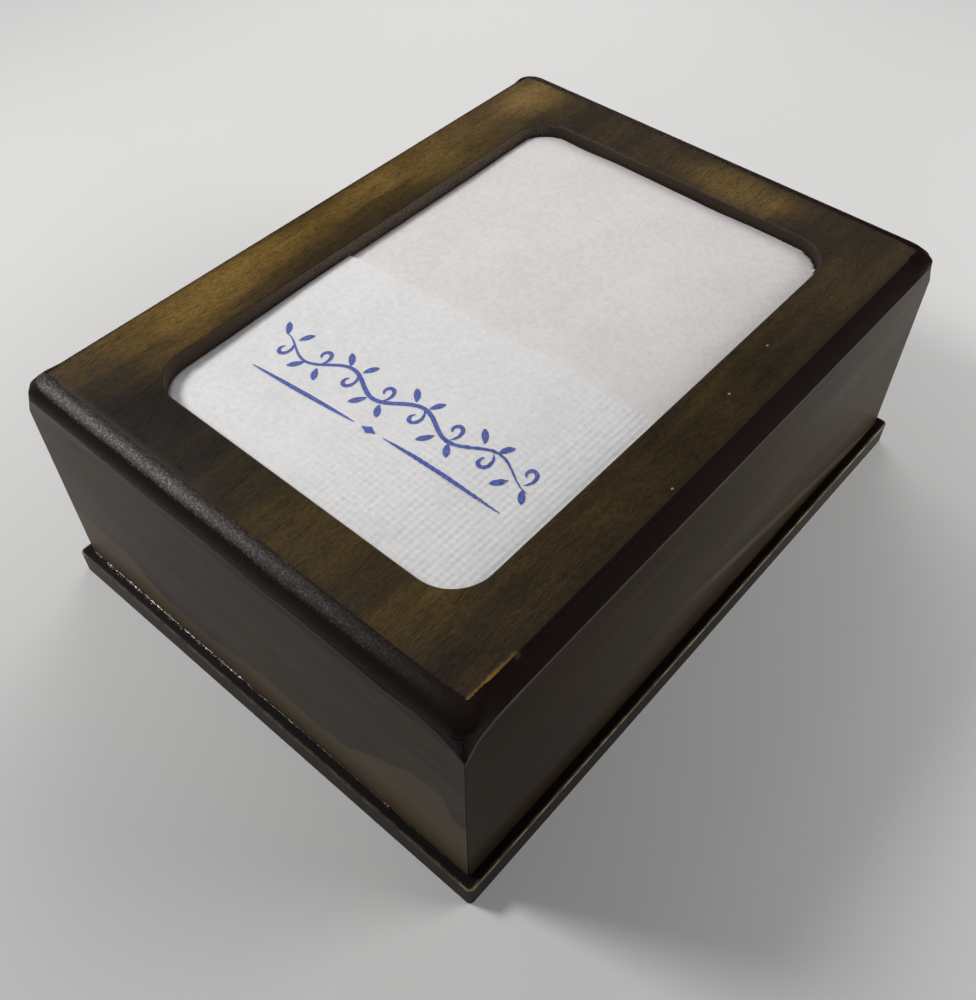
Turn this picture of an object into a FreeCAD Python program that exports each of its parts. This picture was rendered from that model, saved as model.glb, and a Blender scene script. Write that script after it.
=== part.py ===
"""Wooden napkin box with a rear drawer and a sprung napkin lifter.

Frame: +Z up, origin at the bottom centre of the base plate, X across the box,
Y along it. The short fixed end looks to -Y and the drawer slides out to +Y.
All sizes are in millimetres.
"""
import FreeCAD, Part
import os
import Sketcher
from FreeCAD import Placement, Rotation, Vector

SIZES = [
    # the case
    ("box_length", 150.0, "outside length of the box, along Y"),
    ("box_width", 112.6, "outside width of the box, along X"),
    ("box_height", 59.5, "underside of the base plate to the top face"),
    ("base_thickness", 6.3, "base plate"),
    ("base_overhang", 2.2, "base plate beyond the walls, all round"),
    ("base_corner_radius", 1.2, "base plate corners seen from above"),
    ("wall_thickness", 6.0, "front and side walls"),
    ("top_thickness", 4.0, "top board"),
    ("mitre_gap", 0.25, "open joint between the front wall and each side wall"),
    # the worn and rounded edges of the case
    ("end_edge_radius", 4.5, "quarter round along the short top edges"),
    ("side_edge_drop", 3.9, "rounding of the long top edges, down the wall"),
    ("side_edge_setback", 3.2, "rounding of the long top edges, in from the wall"),
    ("side_edge_radius", 30.0, "bow of that rounding"),
    ("corner_drop", 9.0, "height over which the upright corners grow round"),
    ("corner_top_radius", 6.5, "upright corner radius at the top face"),
    ("corner_foot_radius", 0.4, "upright corner radius below the growing part"),
    ("corner_margin", 0.06, "the block with round corners stands this far outside the walls"),
    ("bar_overrun", 2.0, "the bars with rounded edges run this far past the box"),
    # the window in the top board
    ("window_side_frame", 16.9, "wood on each long side of a centred window"),
    ("window_end_frame", 16.45, "wood at each short end of a centred window"),
    ("window_shift_x", 1.1, "window centre from the box centre"),
    ("window_shift_y", -0.4, "window centre from the box centre"),
    ("window_corner_radius", 8.5, "window corners"),
    ("window_edge_break", 0.3, "small chamfer round the window's top edge"),
    # the drawer
    ("drawer_side_gap", 0.5, "drawer to each side wall"),
    ("drawer_slide_gap", 0.3, "drawer bottom to base plate"),
    ("drawer_front_gap", 0.5, "drawer front to top board and to base plate"),
    ("drawer_front_thickness", 9.0, "drawer front"),
    ("drawer_side_thickness", 4.0, "drawer sides"),
    ("drawer_end_thickness", 3.5, "inner end of the drawer"),
    ("drawer_bottom_thickness", 3.0, "drawer bottom"),
    ("kicker_width", 4.0, "strip that keeps the open drawer level"),
    ("kicker_height", 5.0, "strip that keeps the open drawer level"),
    ("kicker_gap", 0.4, "drawer sides to the strip above them"),
    ("kicker_end_gap", 0.5, "strip to the back of the closed drawer front"),
    ("stop_radius", 3.0, "stop button on the front wall"),
    ("stop_thickness", 1.7, "stop button on the front wall"),
    ("stop_gap", 0.3, "closed drawer to the stop buttons"),
    ("stop_inset", 20.3, "centre of a stop button from the side wall"),
    # the knob and its screw
    ("knob_collar_radius", 5.0, "foot of the knob"),
    ("knob_collar_thickness", 1.6, "foot of the knob"),
    ("knob_neck_radius", 3.6, "neck of the knob"),
    ("knob_cove_width", 0.9, "how far the hollow neck spreads onto the collar"),
    ("knob_cove_radius", 2.4, "hollow of the neck"),
    ("knob_head_radius", 5.8, "round head of the knob"),
    ("knob_length", 14.0, "how far the knob stands out"),
    ("knob_screw_depth", 7.0, "thread length inside the knob"),
    ("knob_screw_radius", 1.5, "shank of the knob's screw"),
    ("knob_screw_head_radius", 3.0, "countersunk head of the knob's screw"),
    # the screws and pins
    ("screw_radius", 1.25, "shank of a base screw"),
    ("screw_head_radius", 2.5, "countersunk head of a base screw"),
    ("screw_length", 18.0, "a base screw, head included"),
    ("screw_inset", 25.0, "base screw from the end of its side wall"),
    ("screw_clearance", 0.04, "round every screw and pin"),
    ("pin_radius", 0.6, "headless drawer pin"),
    ("pin_length", 11.0, "headless drawer pin"),
    ("pin_spacing", 20.0, "between the pins of one drawer corner"),
    # the lifter and its springs
    ("lifter_thickness", 3.0, "plate under the napkins"),
    ("lifter_gap", 0.5, "plate to the drawer all round"),
    ("lifter_corner_radius", 2.0, "plate corners"),
    ("spring_radius", 13.0, "mean radius of a coil"),
    ("spring_wire", 1.3, "wire diameter"),
    ("spring_turns", 4.5, "turns of each spring"),
    ("spring_end_gap", 0.05, "wire to the board above and below it"),
    ("seat_thickness", 3.0, "disc that keeps a spring in its place"),
    ("seat_gap", 0.5, "disc to the inside of its spring"),
    # the napkins
    ("napkin_side_gap", 2.8, "folded napkins to each drawer side"),
    ("napkin_end_gap", 2.25, "folded napkins to each end of the drawer's inside"),
    ("napkin_corner_radius", 1.5, "soft corners of the fold"),
    ("stack_height", 26.0, "all napkins, lifter plate to the uppermost leaf"),
    ("leaf_thickness", 0.4, "one folded leaf of embossed tissue"),
    ("front_leaf_length", 57.0, "leaf that covers the front part of the stack"),
    ("stack_clearance", 0.3, "uppermost leaf to the underside of the top board"),
]

doc = FreeCAD.newDocument("napkin_box")
sizes = doc.addObject("Spreadsheet::Sheet", "sizes")
for row, (alias, value, meaning) in enumerate(SIZES, start=1):
    sizes.set(f"A{row}", alias)
    sizes.set(f"B{row}", str(value))
    sizes.set(f"C{row}", meaning)
    sizes.setAlias(f"B{row}", alias)
doc.recompute()

# Levels and faces that several pieces share, as expressions on the sheet.
HALF_WIDTH = "sizes.box_width / 2"
HALF_LENGTH = "sizes.box_length / 2"
INNER_X = "(sizes.box_width / 2 - sizes.wall_thickness)"
INNER_Y = "(sizes.box_length / 2 - sizes.wall_thickness)"
TOP_UNDERSIDE = "(sizes.box_height - sizes.top_thickness)"
WALL_HEIGHT = f"({TOP_UNDERSIDE} - sizes.base_thickness)"
DRAWER_X = f"({INNER_X} - sizes.drawer_side_gap)"
DRAWER_INSIDE_X = f"({DRAWER_X} - sizes.drawer_side_thickness)"
DRAWER_FOOT = "(sizes.base_thickness + sizes.drawer_slide_gap)"
DRAWER_FLOOR = f"({DRAWER_FOOT} + sizes.drawer_bottom_thickness)"
DRAWER_RIM = f"({TOP_UNDERSIDE} - sizes.kicker_height - sizes.kicker_gap)"
DRAWER_BACK_Y = f"({INNER_Y} - sizes.stop_thickness - sizes.stop_gap)"
INSIDE_BACK_Y = f"({DRAWER_BACK_Y} - sizes.drawer_end_thickness)"
INSIDE_FRONT_Y = "(sizes.box_length / 2 - sizes.drawer_front_thickness)"
INSIDE_MIDDLE_Y = f"(({INSIDE_FRONT_Y} - {INSIDE_BACK_Y}) / 2)"
KNOB_Z = f"((sizes.base_thickness + {TOP_UNDERSIDE}) / 2)"
STACK_TOP = f"({TOP_UNDERSIDE} - sizes.stack_clearance)"
LIFTER_TOP = f"({STACK_TOP} - sizes.stack_height)"
LIFTER_UNDERSIDE = f"({LIFTER_TOP} - sizes.lifter_thickness)"
SEAT_RADIUS = "(sizes.spring_radius - sizes.spring_wire / 2 - sizes.seat_gap)"
LEAVES_HEIGHT = "(2 * sizes.leaf_thickness)"
INSIDE_LENGTH = f"({INSIDE_FRONT_Y} + {INSIDE_BACK_Y})"
WINDOW_WIDTH = "(sizes.box_width - 2 * sizes.window_side_frame)"
WINDOW_LENGTH = "(sizes.box_length - 2 * sizes.window_end_frame)"
NAPKIN_WIDTH = f"(2 * {DRAWER_INSIDE_X} - 2 * sizes.napkin_side_gap)"
NAPKIN_LENGTH = f"({INSIDE_LENGTH} - 2 * sizes.napkin_end_gap)"

nodes = []


def size(alias):
    """The value of one cell, for first guesses and counts."""
    return float(sizes.get(alias))


def bind(thing, **expressions):
    """Bind properties of an object to expressions on the sheet."""
    for name, expression in expressions.items():
        thing.setExpression(name, expression)


def place(thing, x="0", y="0", z="0"):
    """Bind the place of an object to expressions on the sheet."""
    thing.setExpression("Placement.Base.x", x)
    thing.setExpression("Placement.Base.y", y)
    thing.setExpression("Placement.Base.z", z)


def keep(thing, label):
    """Make an object one of the sub-parts that are written out."""
    thing.Label = label
    nodes.append(thing)
    return thing


def board(name, dx, dy, dz, x, y, z):
    """A rectangular board: its three sizes, then its lowest corner."""
    thing = doc.addObject("Part::Box", name)
    bind(thing, Length=dx, Width=dy, Height=dz)
    place(thing, x, y, z)
    return thing


def rod(name, radius, length, x, y, z, rotation=Rotation()):
    """A cylinder from its foot centre, along +Z before the rotation."""
    thing = doc.addObject("Part::Cylinder", name)
    thing.Placement = Placement(Vector(), rotation)
    bind(thing, Radius=radius, Height=length)
    place(thing, x, y, z)
    return thing


def joined(name, pieces):
    """One solid or one set of tools out of several objects."""
    thing = doc.addObject("Part::MultiFuse", name)
    thing.Shapes = pieces
    return thing


def cut(name, base, tool):
    """Base with the tool taken out."""
    thing = doc.addObject("Part::Cut", name)
    thing.Base = base
    thing.Tool = tool
    return thing


def trimmed(name, base, envelope):
    """The part of a piece that lies inside the rounded outside of the case."""
    thing = doc.addObject("Part::Common", name)
    thing.Base = base
    thing.Tool = envelope
    return thing


def group(name, pieces):
    """Several separate solids that share one node."""
    thing = doc.addObject("Part::Compound", name)
    thing.Links = pieces
    return thing


def new_sketch(body, name, role, x="0", y="0", z="0"):
    """A sketch on an origin plane of its body, moved by bound offsets."""
    sketch = body.newObject("Sketcher::SketchObject", name)
    plane = [item for item in body.Origin.OriginFeatures if item.Role == role][0]
    sketch.AttachmentSupport = [(plane, "")]
    sketch.MapMode = "FlatFace"
    sketch.setExpression("AttachmentOffset.Base.x", x)
    sketch.setExpression("AttachmentOffset.Base.y", y)
    sketch.setExpression("AttachmentOffset.Base.z", z)
    return sketch


def datum(sketch, constraint, expression):
    """Add a dimension to a sketch and bind it."""
    index = sketch.addConstraint(constraint)
    sketch.setExpression(f"Constraints[{index}]", expression)


def value_of(expression):
    """The present value of an expression on the sheet."""
    return float(sizes.evalExpression(expression.replace("sizes.", "")))


def pin_point(sketch, edge, end, x, y):
    """Dimension one end of an edge from the sketch's origin."""
    datum(sketch, Sketcher.Constraint("DistanceX", -1, 1, edge, end, value_of(x)), x)
    datum(sketch, Sketcher.Constraint("DistanceY", -1, 1, edge, end, value_of(y)), y)


def outline(sketch, points, arcs=None):
    """A closed outline through points given as pairs of expressions.

    arcs maps the number of an edge to (radius expression, bulge side): that
    edge is an arc which bulges to the left (+1) or right (-1) of its way.
    """
    arcs = arcs or {}
    corners = [Vector(value_of(x), value_of(y), 0) for x, y in points]
    count = len(corners)
    for index in range(count):
        first = corners[index]
        second = corners[(index + 1) % count]
        if index in arcs:
            radius, side = arcs[index]
            chord = second - first
            half = chord.Length / 2
            bow = value_of(radius)
            sagitta = bow - (max(bow**2 - half**2, 0.0)) ** 0.5
            across = Vector(-chord.y, chord.x, 0).normalize() * (side * sagitta)
            start, end = (first, second) if side < 0 else (second, first)
            curve = Part.Arc(start, first + chord * 0.5 + across, end)
        else:
            curve = Part.LineSegment(first, second)
        sketch.addGeometry(curve, False)
    ends = []
    for index in range(count):
        curve = sketch.Geometry[index]
        starts_here = curve.StartPoint.distanceToPoint(corners[index]) < 1e-6
        ends.append((1, 2) if starts_here else (2, 1))
    for index in range(count):
        after = (index + 1) % count
        joint = Sketcher.Constraint("Coincident", index, ends[index][1], after, ends[after][0])
        sketch.addConstraint(joint)
    for index, (x, y) in enumerate(points):
        pin_point(sketch, index, ends[index][0], x, y)
    for index, (radius, side) in arcs.items():
        datum(sketch, Sketcher.Constraint("Radius", index, value_of(radius)), radius)


def rounded_rectangle(sketch, width, length, radius):
    """A rectangle with round corners, centred on the sketch's origin."""
    across = value_of(width) / 2
    along = value_of(length) / 2
    corner = value_of(radius)
    quarter = FreeCAD.Units.Quantity("90 deg").getValueAs("rad").Value
    signs = [(1, 1), (-1, 1), (-1, -1), (1, -1)]
    for number, (sx, sy) in enumerate(signs):
        centre = Vector(sx * (across - corner), sy * (along - corner), 0)
        circle = Part.Circle(centre, Vector(0, 0, 1), corner)
        arc = Part.ArcOfCircle(circle, number * quarter, (number + 1) * quarter)
        sketch.addGeometry(arc, False)
    for number in range(4):
        start = sketch.Geometry[number].EndPoint
        end = sketch.Geometry[(number + 1) % 4].StartPoint
        sketch.addGeometry(Part.LineSegment(start, end), False)
    for number in range(4):
        line = number + 4
        after = (number + 1) % 4
        sketch.addConstraint(Sketcher.Constraint("Tangent", number, 2, line, 1))
        sketch.addConstraint(Sketcher.Constraint("Tangent", line, 2, after, 1))
        sketch.addConstraint(Sketcher.Constraint(["Horizontal", "Vertical"][number % 2], line))
        if number:
            sketch.addConstraint(Sketcher.Constraint("Equal", 0, number))
    sketch.addConstraint(Sketcher.Constraint("Symmetric", 0, 3, 2, 3, -1, 1))
    datum(sketch, Sketcher.Constraint("Radius", 0, corner), radius)
    wide = Sketcher.Constraint("DistanceX", 1, 3, 0, 3, 2 * (across - corner))
    datum(sketch, wide, f"{width} - 2 * {radius}")
    high = Sketcher.Constraint("DistanceY", 3, 3, 0, 3, 2 * (along - corner))
    datum(sketch, high, f"{length} - 2 * {radius}")


def padded(body, sketch, name, length, both_ways=False):
    """Pad a sketch along its normal."""
    pad = body.newObject("PartDesign::Pad", name)
    pad.Profile = sketch
    pad.SideType = "Symmetric" if both_ways else "One side"
    bind(pad, Length=length)
    sketch.Visibility = False
    doc.recompute()
    return pad


def new_body(name):
    return doc.addObject("PartDesign::Body", name)


def rounded_slab(name, width, length, radius, height, x="0", y="0", z="0"):
    """A flat body with round corners seen from above; x, y is its centre."""
    body = new_body(name)
    sketch = new_sketch(body, f"{name}_outline", "XY_Plane", x, y, z)
    rounded_rectangle(sketch, width, length, radius)
    padded(body, sketch, f"{name}_pad", height)
    return body


def edge_profile(name, role, half, drop, setback, radius, length):
    """A bar with a flat foot and rounded upper edges, along one axis."""
    body = new_body(name)
    sketch = new_sketch(body, f"{name}_section", role)
    flat = f"({half} - {setback})"
    shoulder = f"(sizes.box_height - {drop})"
    points = [
        (f"-({half})", "0"),
        (half, "0"),
        (half, shoulder),
        (flat, "sizes.box_height"),
        (f"-{flat}", "sizes.box_height"),
        (f"-({half})", shoulder),
    ]
    outline(sketch, points, {2: (radius, -1), 4: (radius, -1)})
    padded(body, sketch, f"{name}_pad", length, both_ways=True)
    return body


def case_envelope():
    """The outside of the box: rounded top edges and ball-like top corners."""
    long_edges = edge_profile(
        "long_edges", "XZ_Plane", HALF_WIDTH, "sizes.side_edge_drop",
        "sizes.side_edge_setback", "sizes.side_edge_radius", "sizes.box_length + 2 * sizes.bar_overrun",
    )
    short_edges = edge_profile(
        "short_edges", "YZ_Plane", HALF_LENGTH, "sizes.end_edge_radius",
        "sizes.end_edge_radius", "sizes.end_edge_radius", "sizes.box_width + 2 * sizes.bar_overrun",
    )
    corners = new_body("upright_corners")
    level = "(sizes.box_height - sizes.corner_drop)"
    foot = new_sketch(corners, "foot_outline", "XY_Plane")
    lower = new_sketch(corners, "lower_outline", "XY_Plane", z=level)
    upper = new_sketch(corners, "upper_outline", "XY_Plane", z="sizes.box_height")
    radii = ("sizes.corner_foot_radius", "sizes.corner_foot_radius", "sizes.corner_top_radius")
    width = "(sizes.box_width + 2 * sizes.corner_margin)"
    length = "(sizes.box_length + 2 * sizes.corner_margin)"
    for sketch, radius in zip((foot, lower, upper), radii):
        rounded_rectangle(sketch, width, length, f"({radius} + sizes.corner_margin)")
    padded(corners, foot, "foot_pad", level)
    loft = corners.newObject("PartDesign::AdditiveLoft", "corner_loft")
    loft.Profile = lower
    loft.Sections = [upper]
    loft.Ruled = True
    doc.recompute()
    ends_rounded = trimmed("ends_rounded", short_edges, corners)
    envelope = trimmed("case_envelope", ends_rounded, long_edges)
    doc.recompute()
    return envelope


def countersunk(name, shank, head, length, x, y, z, rotation=Rotation(), extra="0"):
    """A countersunk screw, its head's flat face at the given place."""
    rim = f"({head} + {extra})"
    stem = f"({shank} + {extra})"
    cone = doc.addObject("Part::Cone", f"{name}_head")
    bind(cone, Radius1=rim, Radius2=stem, Height=f"{head} - {shank}")
    shaft = rod(f"{name}_shaft", stem, f"{length} + {extra}", "0", "0", "0")
    screw = joined(name, [cone, shaft])
    screw.Placement = Placement(Vector(), rotation)
    place(screw, x, y, z)
    return screw


def base_screw_set(name, extra="0"):
    """Four screws that rise through the base plate into the side walls."""
    screws = []
    for side in (-1, 1):
        for end in (-1, 1):
            x = f"{side} * ({HALF_WIDTH} - sizes.wall_thickness / 2)"
            y = f"{end} * ({HALF_LENGTH} - sizes.screw_inset)"
            screws.append(countersunk(
                f"{name}_{len(screws) + 1}", "sizes.screw_radius", "sizes.screw_head_radius",
                "sizes.screw_length", x, y, "0", extra=extra,
            ))
    return screws


def drawer_pin_set(name, extra="0"):
    """Headless pins through the drawer sides into its inner end."""
    pins = []
    radius = f"(sizes.pin_radius + {extra})"
    for side in (-1, 1):
        turn = Rotation(Vector(0, 1, 0), -90 * side)
        for row in (-1, 1):
            y = f"-({DRAWER_BACK_Y} - sizes.drawer_end_thickness / 2)"
            z = f"({DRAWER_FLOOR} + {DRAWER_RIM}) / 2 + {row} * sizes.pin_spacing / 2"
            x = f"{side} * {DRAWER_X}"
            length = f"(sizes.pin_length + {extra})"
            pins.append(rod(f"{name}_{len(pins) + 1}", radius, length, x, y, z, turn))
    return pins


def make_case():
    envelope = case_envelope()

    plate = rounded_slab(
        "base_plate_blank", "(sizes.box_width + 2 * sizes.base_overhang)",
        "(sizes.box_length + 2 * sizes.base_overhang)", "sizes.base_corner_radius",
        "sizes.base_thickness",
    )
    screw_holes = joined("screw_holes", base_screw_set("screw_hole", "sizes.screw_clearance"))
    keep(cut("base_plate", plate, screw_holes), "base_plate")

    front = new_body("front_wall_blank")
    plan = new_sketch(front, "front_wall_plan", "XY_Plane", z="sizes.base_thickness")
    outer_x = f"({HALF_WIDTH} - sizes.mitre_gap)"
    inner_x = f"({INNER_X} - sizes.mitre_gap)"
    outline(plan, [
        (f"-{outer_x}", f"-({HALF_LENGTH})"),
        (outer_x, f"-({HALF_LENGTH})"),
        (inner_x, f"-{INNER_Y}"),
        (f"-{inner_x}", f"-{INNER_Y}"),
    ])
    padded(front, plan, "front_wall_pad", WALL_HEIGHT)
    keep(trimmed("front_wall", front, envelope), "front_wall")

    for side, label in ((-1, "left_wall"), (1, "right_wall")):
        wall = new_body(f"{label}_blank")
        plan = new_sketch(wall, f"{label}_plan", "XY_Plane", z="sizes.base_thickness")
        outline(plan, [
            (f"{side} * {HALF_WIDTH}", f"-({HALF_LENGTH})"),
            (f"{side} * {HALF_WIDTH}", HALF_LENGTH),
            (f"{side} * {INNER_X}", HALF_LENGTH),
            (f"{side} * {INNER_X}", f"-{INNER_Y}"),
        ])
        padded(wall, plan, f"{label}_pad", WALL_HEIGHT)
        rounded_wall = trimmed(f"{label}_rounded", wall, envelope)
        keep(cut(label, rounded_wall, screw_holes), label)

    make_top_board(envelope)

    for side, label in ((-1, "kicker_left"), (1, "kicker_right")):
        low_x = INNER_X if side < 0 else f"({INNER_X} - sizes.kicker_width)"
        x = f"-{low_x}" if side < 0 else low_x
        length = f"({INNER_Y} + {INSIDE_FRONT_Y} - sizes.kicker_end_gap)"
        strip = board(
            label, "sizes.kicker_width", length, "sizes.kicker_height",
            x, f"-{INNER_Y}", f"{TOP_UNDERSIDE} - sizes.kicker_height",
        )
        keep(strip, label)

    for side, label in ((-1, "stop_button_left"), (1, "stop_button_right")):
        button = rod(
            label, "sizes.stop_radius", "sizes.stop_thickness",
            f"{side} * ({INNER_X} - sizes.stop_inset)", f"-{INNER_Y}", KNOB_Z,
            Rotation(Vector(1, 0, 0), -90),
        )
        keep(button, label)

    keep(group("base_screws", base_screw_set("base_screw")), "base_screws")


def make_top_board(envelope):
    """The top board: its grain runs along Y, and the window is cut through."""
    top = new_body("top_board_blank")
    plan = new_sketch(top, "top_board_plan", "XY_Plane", z=TOP_UNDERSIDE)
    rounded_rectangle(plan, "sizes.box_width", "sizes.box_length", "sizes.corner_foot_radius")
    padded(top, plan, "top_board_pad", "sizes.top_thickness")
    hole = new_sketch(
        top, "window_outline", "XY_Plane",
        "sizes.window_shift_x", "sizes.window_shift_y", "sizes.box_height",
    )
    rounded_rectangle(hole, WINDOW_WIDTH, WINDOW_LENGTH, "sizes.window_corner_radius")
    pocket = top.newObject("PartDesign::Pocket", "window")
    pocket.Profile = hole
    pocket.Type = "Length"
    bind(pocket, Length="sizes.top_thickness")
    doc.recompute()
    rim = []
    reach_x = size("box_width") / 2
    for number, edge in enumerate(pocket.Shape.Edges, start=1):
        box = edge.BoundBox
        at_top = abs(box.ZMin - size("box_height")) < 1e-4 and box.ZLength < 1e-4
        inside = max(abs(box.XMin), abs(box.XMax)) < reach_x - 1.0
        if at_top and inside and max(abs(box.YMin), abs(box.YMax)) < size("box_length") / 2 - 1.0:
            rim.append(f"Edge{number}")
    chamfer = top.newObject("PartDesign::Chamfer", "window_rim")
    chamfer.Base = (pocket, rim)
    bind(chamfer, Size="sizes.window_edge_break")
    doc.recompute()
    keep(trimmed("top_board", top, envelope), "top_board")


def knob_blank():
    """A turned knob about the Y axis: collar and hollow neck, then a round head."""
    foot = new_body("knob_foot")
    half = new_sketch(foot, "knob_foot_section", "XY_Plane", "0", HALF_LENGTH, KNOB_Z)
    centre = "(sizes.knob_length - sizes.knob_head_radius)"
    neck_top = f"({centre} - sqrt(sizes.knob_head_radius^2 - sizes.knob_neck_radius^2))"
    outline(half, [
        ("0", "0"),
        ("sizes.knob_collar_radius", "0"),
        ("sizes.knob_collar_radius", "sizes.knob_collar_thickness"),
        ("(sizes.knob_neck_radius + sizes.knob_cove_width)", "sizes.knob_collar_thickness"),
        ("sizes.knob_neck_radius", neck_top),
        ("sizes.knob_neck_radius", centre),
        ("0", centre),
    ], {3: ("sizes.knob_cove_radius", 1)})
    turned = foot.newObject("PartDesign::Revolution", "knob_foot_turned")
    turned.Profile = half
    turned.ReferenceAxis = (half, ["V_Axis"])
    turned.Angle = 360
    head = doc.addObject("Part::Sphere", "knob_head")
    bind(head, Radius="sizes.knob_head_radius")
    place(head, "0", f"{HALF_LENGTH} + {centre}", KNOB_Z)
    blank = joined("drawer_knob_blank", [foot, head])
    doc.recompute()
    return blank


def knob_screw(name, extra="0"):
    """The screw that holds the knob, from the inside of the drawer front."""
    return countersunk(
        name, "sizes.knob_screw_radius", "sizes.knob_screw_head_radius",
        "(sizes.drawer_front_thickness + sizes.knob_screw_depth)",
        "0", INSIDE_FRONT_Y, KNOB_Z, Rotation(Vector(1, 0, 0), -90), extra,
    )


def make_drawer():
    screw_hole = knob_screw("knob_screw_hole", "sizes.screw_clearance")
    pin_holes = joined("pin_holes", drawer_pin_set("pin_hole", "sizes.screw_clearance"))

    front_height = f"({WALL_HEIGHT} - 2 * sizes.drawer_front_gap)"
    front = board(
        "drawer_front_blank", f"2 * {DRAWER_X}", "sizes.drawer_front_thickness", front_height,
        f"-{DRAWER_X}", INSIDE_FRONT_Y, "sizes.base_thickness + sizes.drawer_front_gap",
    )
    keep(cut("drawer_front", front, screw_hole), "drawer_front")
    keep(cut("drawer_knob", knob_blank(), screw_hole), "drawer_knob")
    keep(knob_screw("knob_screw"), "knob_screw")

    side_length = f"({DRAWER_BACK_Y} + {INSIDE_FRONT_Y})"
    side_height = f"({DRAWER_RIM} - {DRAWER_FLOOR})"
    for side, label in ((-1, "drawer_side_left"), (1, "drawer_side_right")):
        x = f"-{DRAWER_X}" if side < 0 else DRAWER_INSIDE_X
        blank = board(
            f"{label}_blank", "sizes.drawer_side_thickness", side_length, side_height,
            x, f"-{DRAWER_BACK_Y}", DRAWER_FLOOR,
        )
        keep(cut(label, blank, pin_holes), label)

    end = board(
        "drawer_inner_end_blank", f"2 * {DRAWER_INSIDE_X}", "sizes.drawer_end_thickness",
        side_height, f"-{DRAWER_INSIDE_X}", f"-{DRAWER_BACK_Y}", DRAWER_FLOOR,
    )
    keep(cut("drawer_inner_end", end, pin_holes), "drawer_inner_end")

    bottom = board(
        "drawer_bottom", f"2 * {DRAWER_X}", side_length, "sizes.drawer_bottom_thickness",
        f"-{DRAWER_X}", f"-{DRAWER_BACK_Y}", DRAWER_FOOT,
    )
    keep(bottom, "drawer_bottom")
    keep(group("drawer_pins", drawer_pin_set("drawer_pin")), "drawer_pins")


def spring_body(name, y):
    """A coil spring between the drawer bottom and the lifter plate."""
    body = new_body(name)
    margin = "(sizes.spring_wire / 2 + sizes.spring_end_gap)"
    foot = f"({DRAWER_FLOOR} + {margin})"
    rise = f"({LIFTER_UNDERSIDE} - {DRAWER_FLOOR} - 2 * {margin})"
    wire = new_sketch(body, f"{name}_wire", "XZ_Plane", "0", foot, f"-({y})")
    radius = value_of("sizes.spring_wire / 2")
    centre = Vector(size("spring_radius"), 0, 0)
    wire.addGeometry(Part.Circle(centre, Vector(0, 0, 1), radius), False)
    pin_point(wire, 0, 3, "sizes.spring_radius", "0")
    datum(wire, Sketcher.Constraint("Radius", 0, radius), "sizes.spring_wire / 2")
    coil = body.newObject("PartDesign::AdditiveHelix", f"{name}_coil")
    coil.Profile = wire
    coil.ReferenceAxis = (wire, ["V_Axis"])
    coil.Mode = 1
    bind(coil, Height=rise, Turns="sizes.spring_turns")
    bind(coil, Pitch=f"{rise} / sizes.spring_turns")
    doc.recompute()
    return body


def make_lifter():
    plate = rounded_slab(
        "lifter_plate", f"(2 * {DRAWER_INSIDE_X} - 2 * sizes.lifter_gap)",
        f"({INSIDE_LENGTH} - 2 * sizes.lifter_gap)",
        "sizes.lifter_corner_radius", "sizes.lifter_thickness",
        y=INSIDE_MIDDLE_Y, z=LIFTER_UNDERSIDE,
    )
    keep(plate, "lifter_plate")
    for end, place_name in ((-1, "front"), (1, "rear")):
        y = f"({INSIDE_MIDDLE_Y} + {end} * {INSIDE_LENGTH} / 4)"
        lower = rod(
            f"lower_seat_{place_name}", SEAT_RADIUS, "sizes.seat_thickness", "0", y, DRAWER_FLOOR
        )
        keep(lower, f"lower_seat_{place_name}")
        keep(spring_body(f"lifter_spring_{place_name}", y), f"lifter_spring_{place_name}")
        upper = rod(
            f"upper_seat_{place_name}", SEAT_RADIUS, "sizes.seat_thickness",
            "0", y, f"{LIFTER_UNDERSIDE} - sizes.seat_thickness",
        )
        keep(upper, f"upper_seat_{place_name}")


def make_napkins():
    pile_height = f"(sizes.stack_height - {LEAVES_HEIGHT})"
    corner = "sizes.napkin_corner_radius"
    pile = rounded_slab(
        "napkin_stack", NAPKIN_WIDTH, NAPKIN_LENGTH, corner,
        pile_height, y=INSIDE_MIDDLE_Y, z=LIFTER_TOP,
    )
    keep(pile, "napkin_stack")
    rear = rounded_slab(
        "rear_napkin", NAPKIN_WIDTH, NAPKIN_LENGTH, corner,
        "sizes.leaf_thickness", y=INSIDE_MIDDLE_Y, z=f"{STACK_TOP} - {LEAVES_HEIGHT}",
    )
    keep(rear, "rear_napkin")
    front_middle = f"({INSIDE_MIDDLE_Y} - ({NAPKIN_LENGTH} - sizes.front_leaf_length) / 2)"
    front = rounded_slab(
        "front_napkin", NAPKIN_WIDTH, "sizes.front_leaf_length", corner,
        "sizes.leaf_thickness", y=front_middle, z=f"{STACK_TOP} - sizes.leaf_thickness",
    )
    keep(front, "front_napkin")


def check_and_write():
    """Stop on any failed feature or bad shape, then write every sub-part."""
    doc.recompute()
    for thing in doc.Objects:
        if "Invalid" in thing.State or "Error" in thing.State:
            raise RuntimeError(f"{thing.Name} failed: {thing.State}")
    for node in nodes:
        shape = node.Shape
        if shape.isNull() or not shape.isValid() or not shape.Solids:
            raise RuntimeError(f"{node.Label} has no sound shape")
    os.makedirs("parts", exist_ok=True)
    for node in nodes:
        node.Shape.exportStep(f"parts/{node.Label}.step")
        box = node.Shape.BoundBox
        print(
            f"{node.Label:20s} solids {len(node.Shape.Solids)} volume {node.Shape.Volume:10.1f}  "
            f"x {box.XMin:7.2f} {box.XMax:7.2f}  y {box.YMin:7.2f} {box.YMax:7.2f}  "
            f"z {box.ZMin:6.2f} {box.ZMax:6.2f}"
        )


make_case()
make_drawer()
make_lifter()
make_napkins()
check_and_write()
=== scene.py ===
import math

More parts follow.
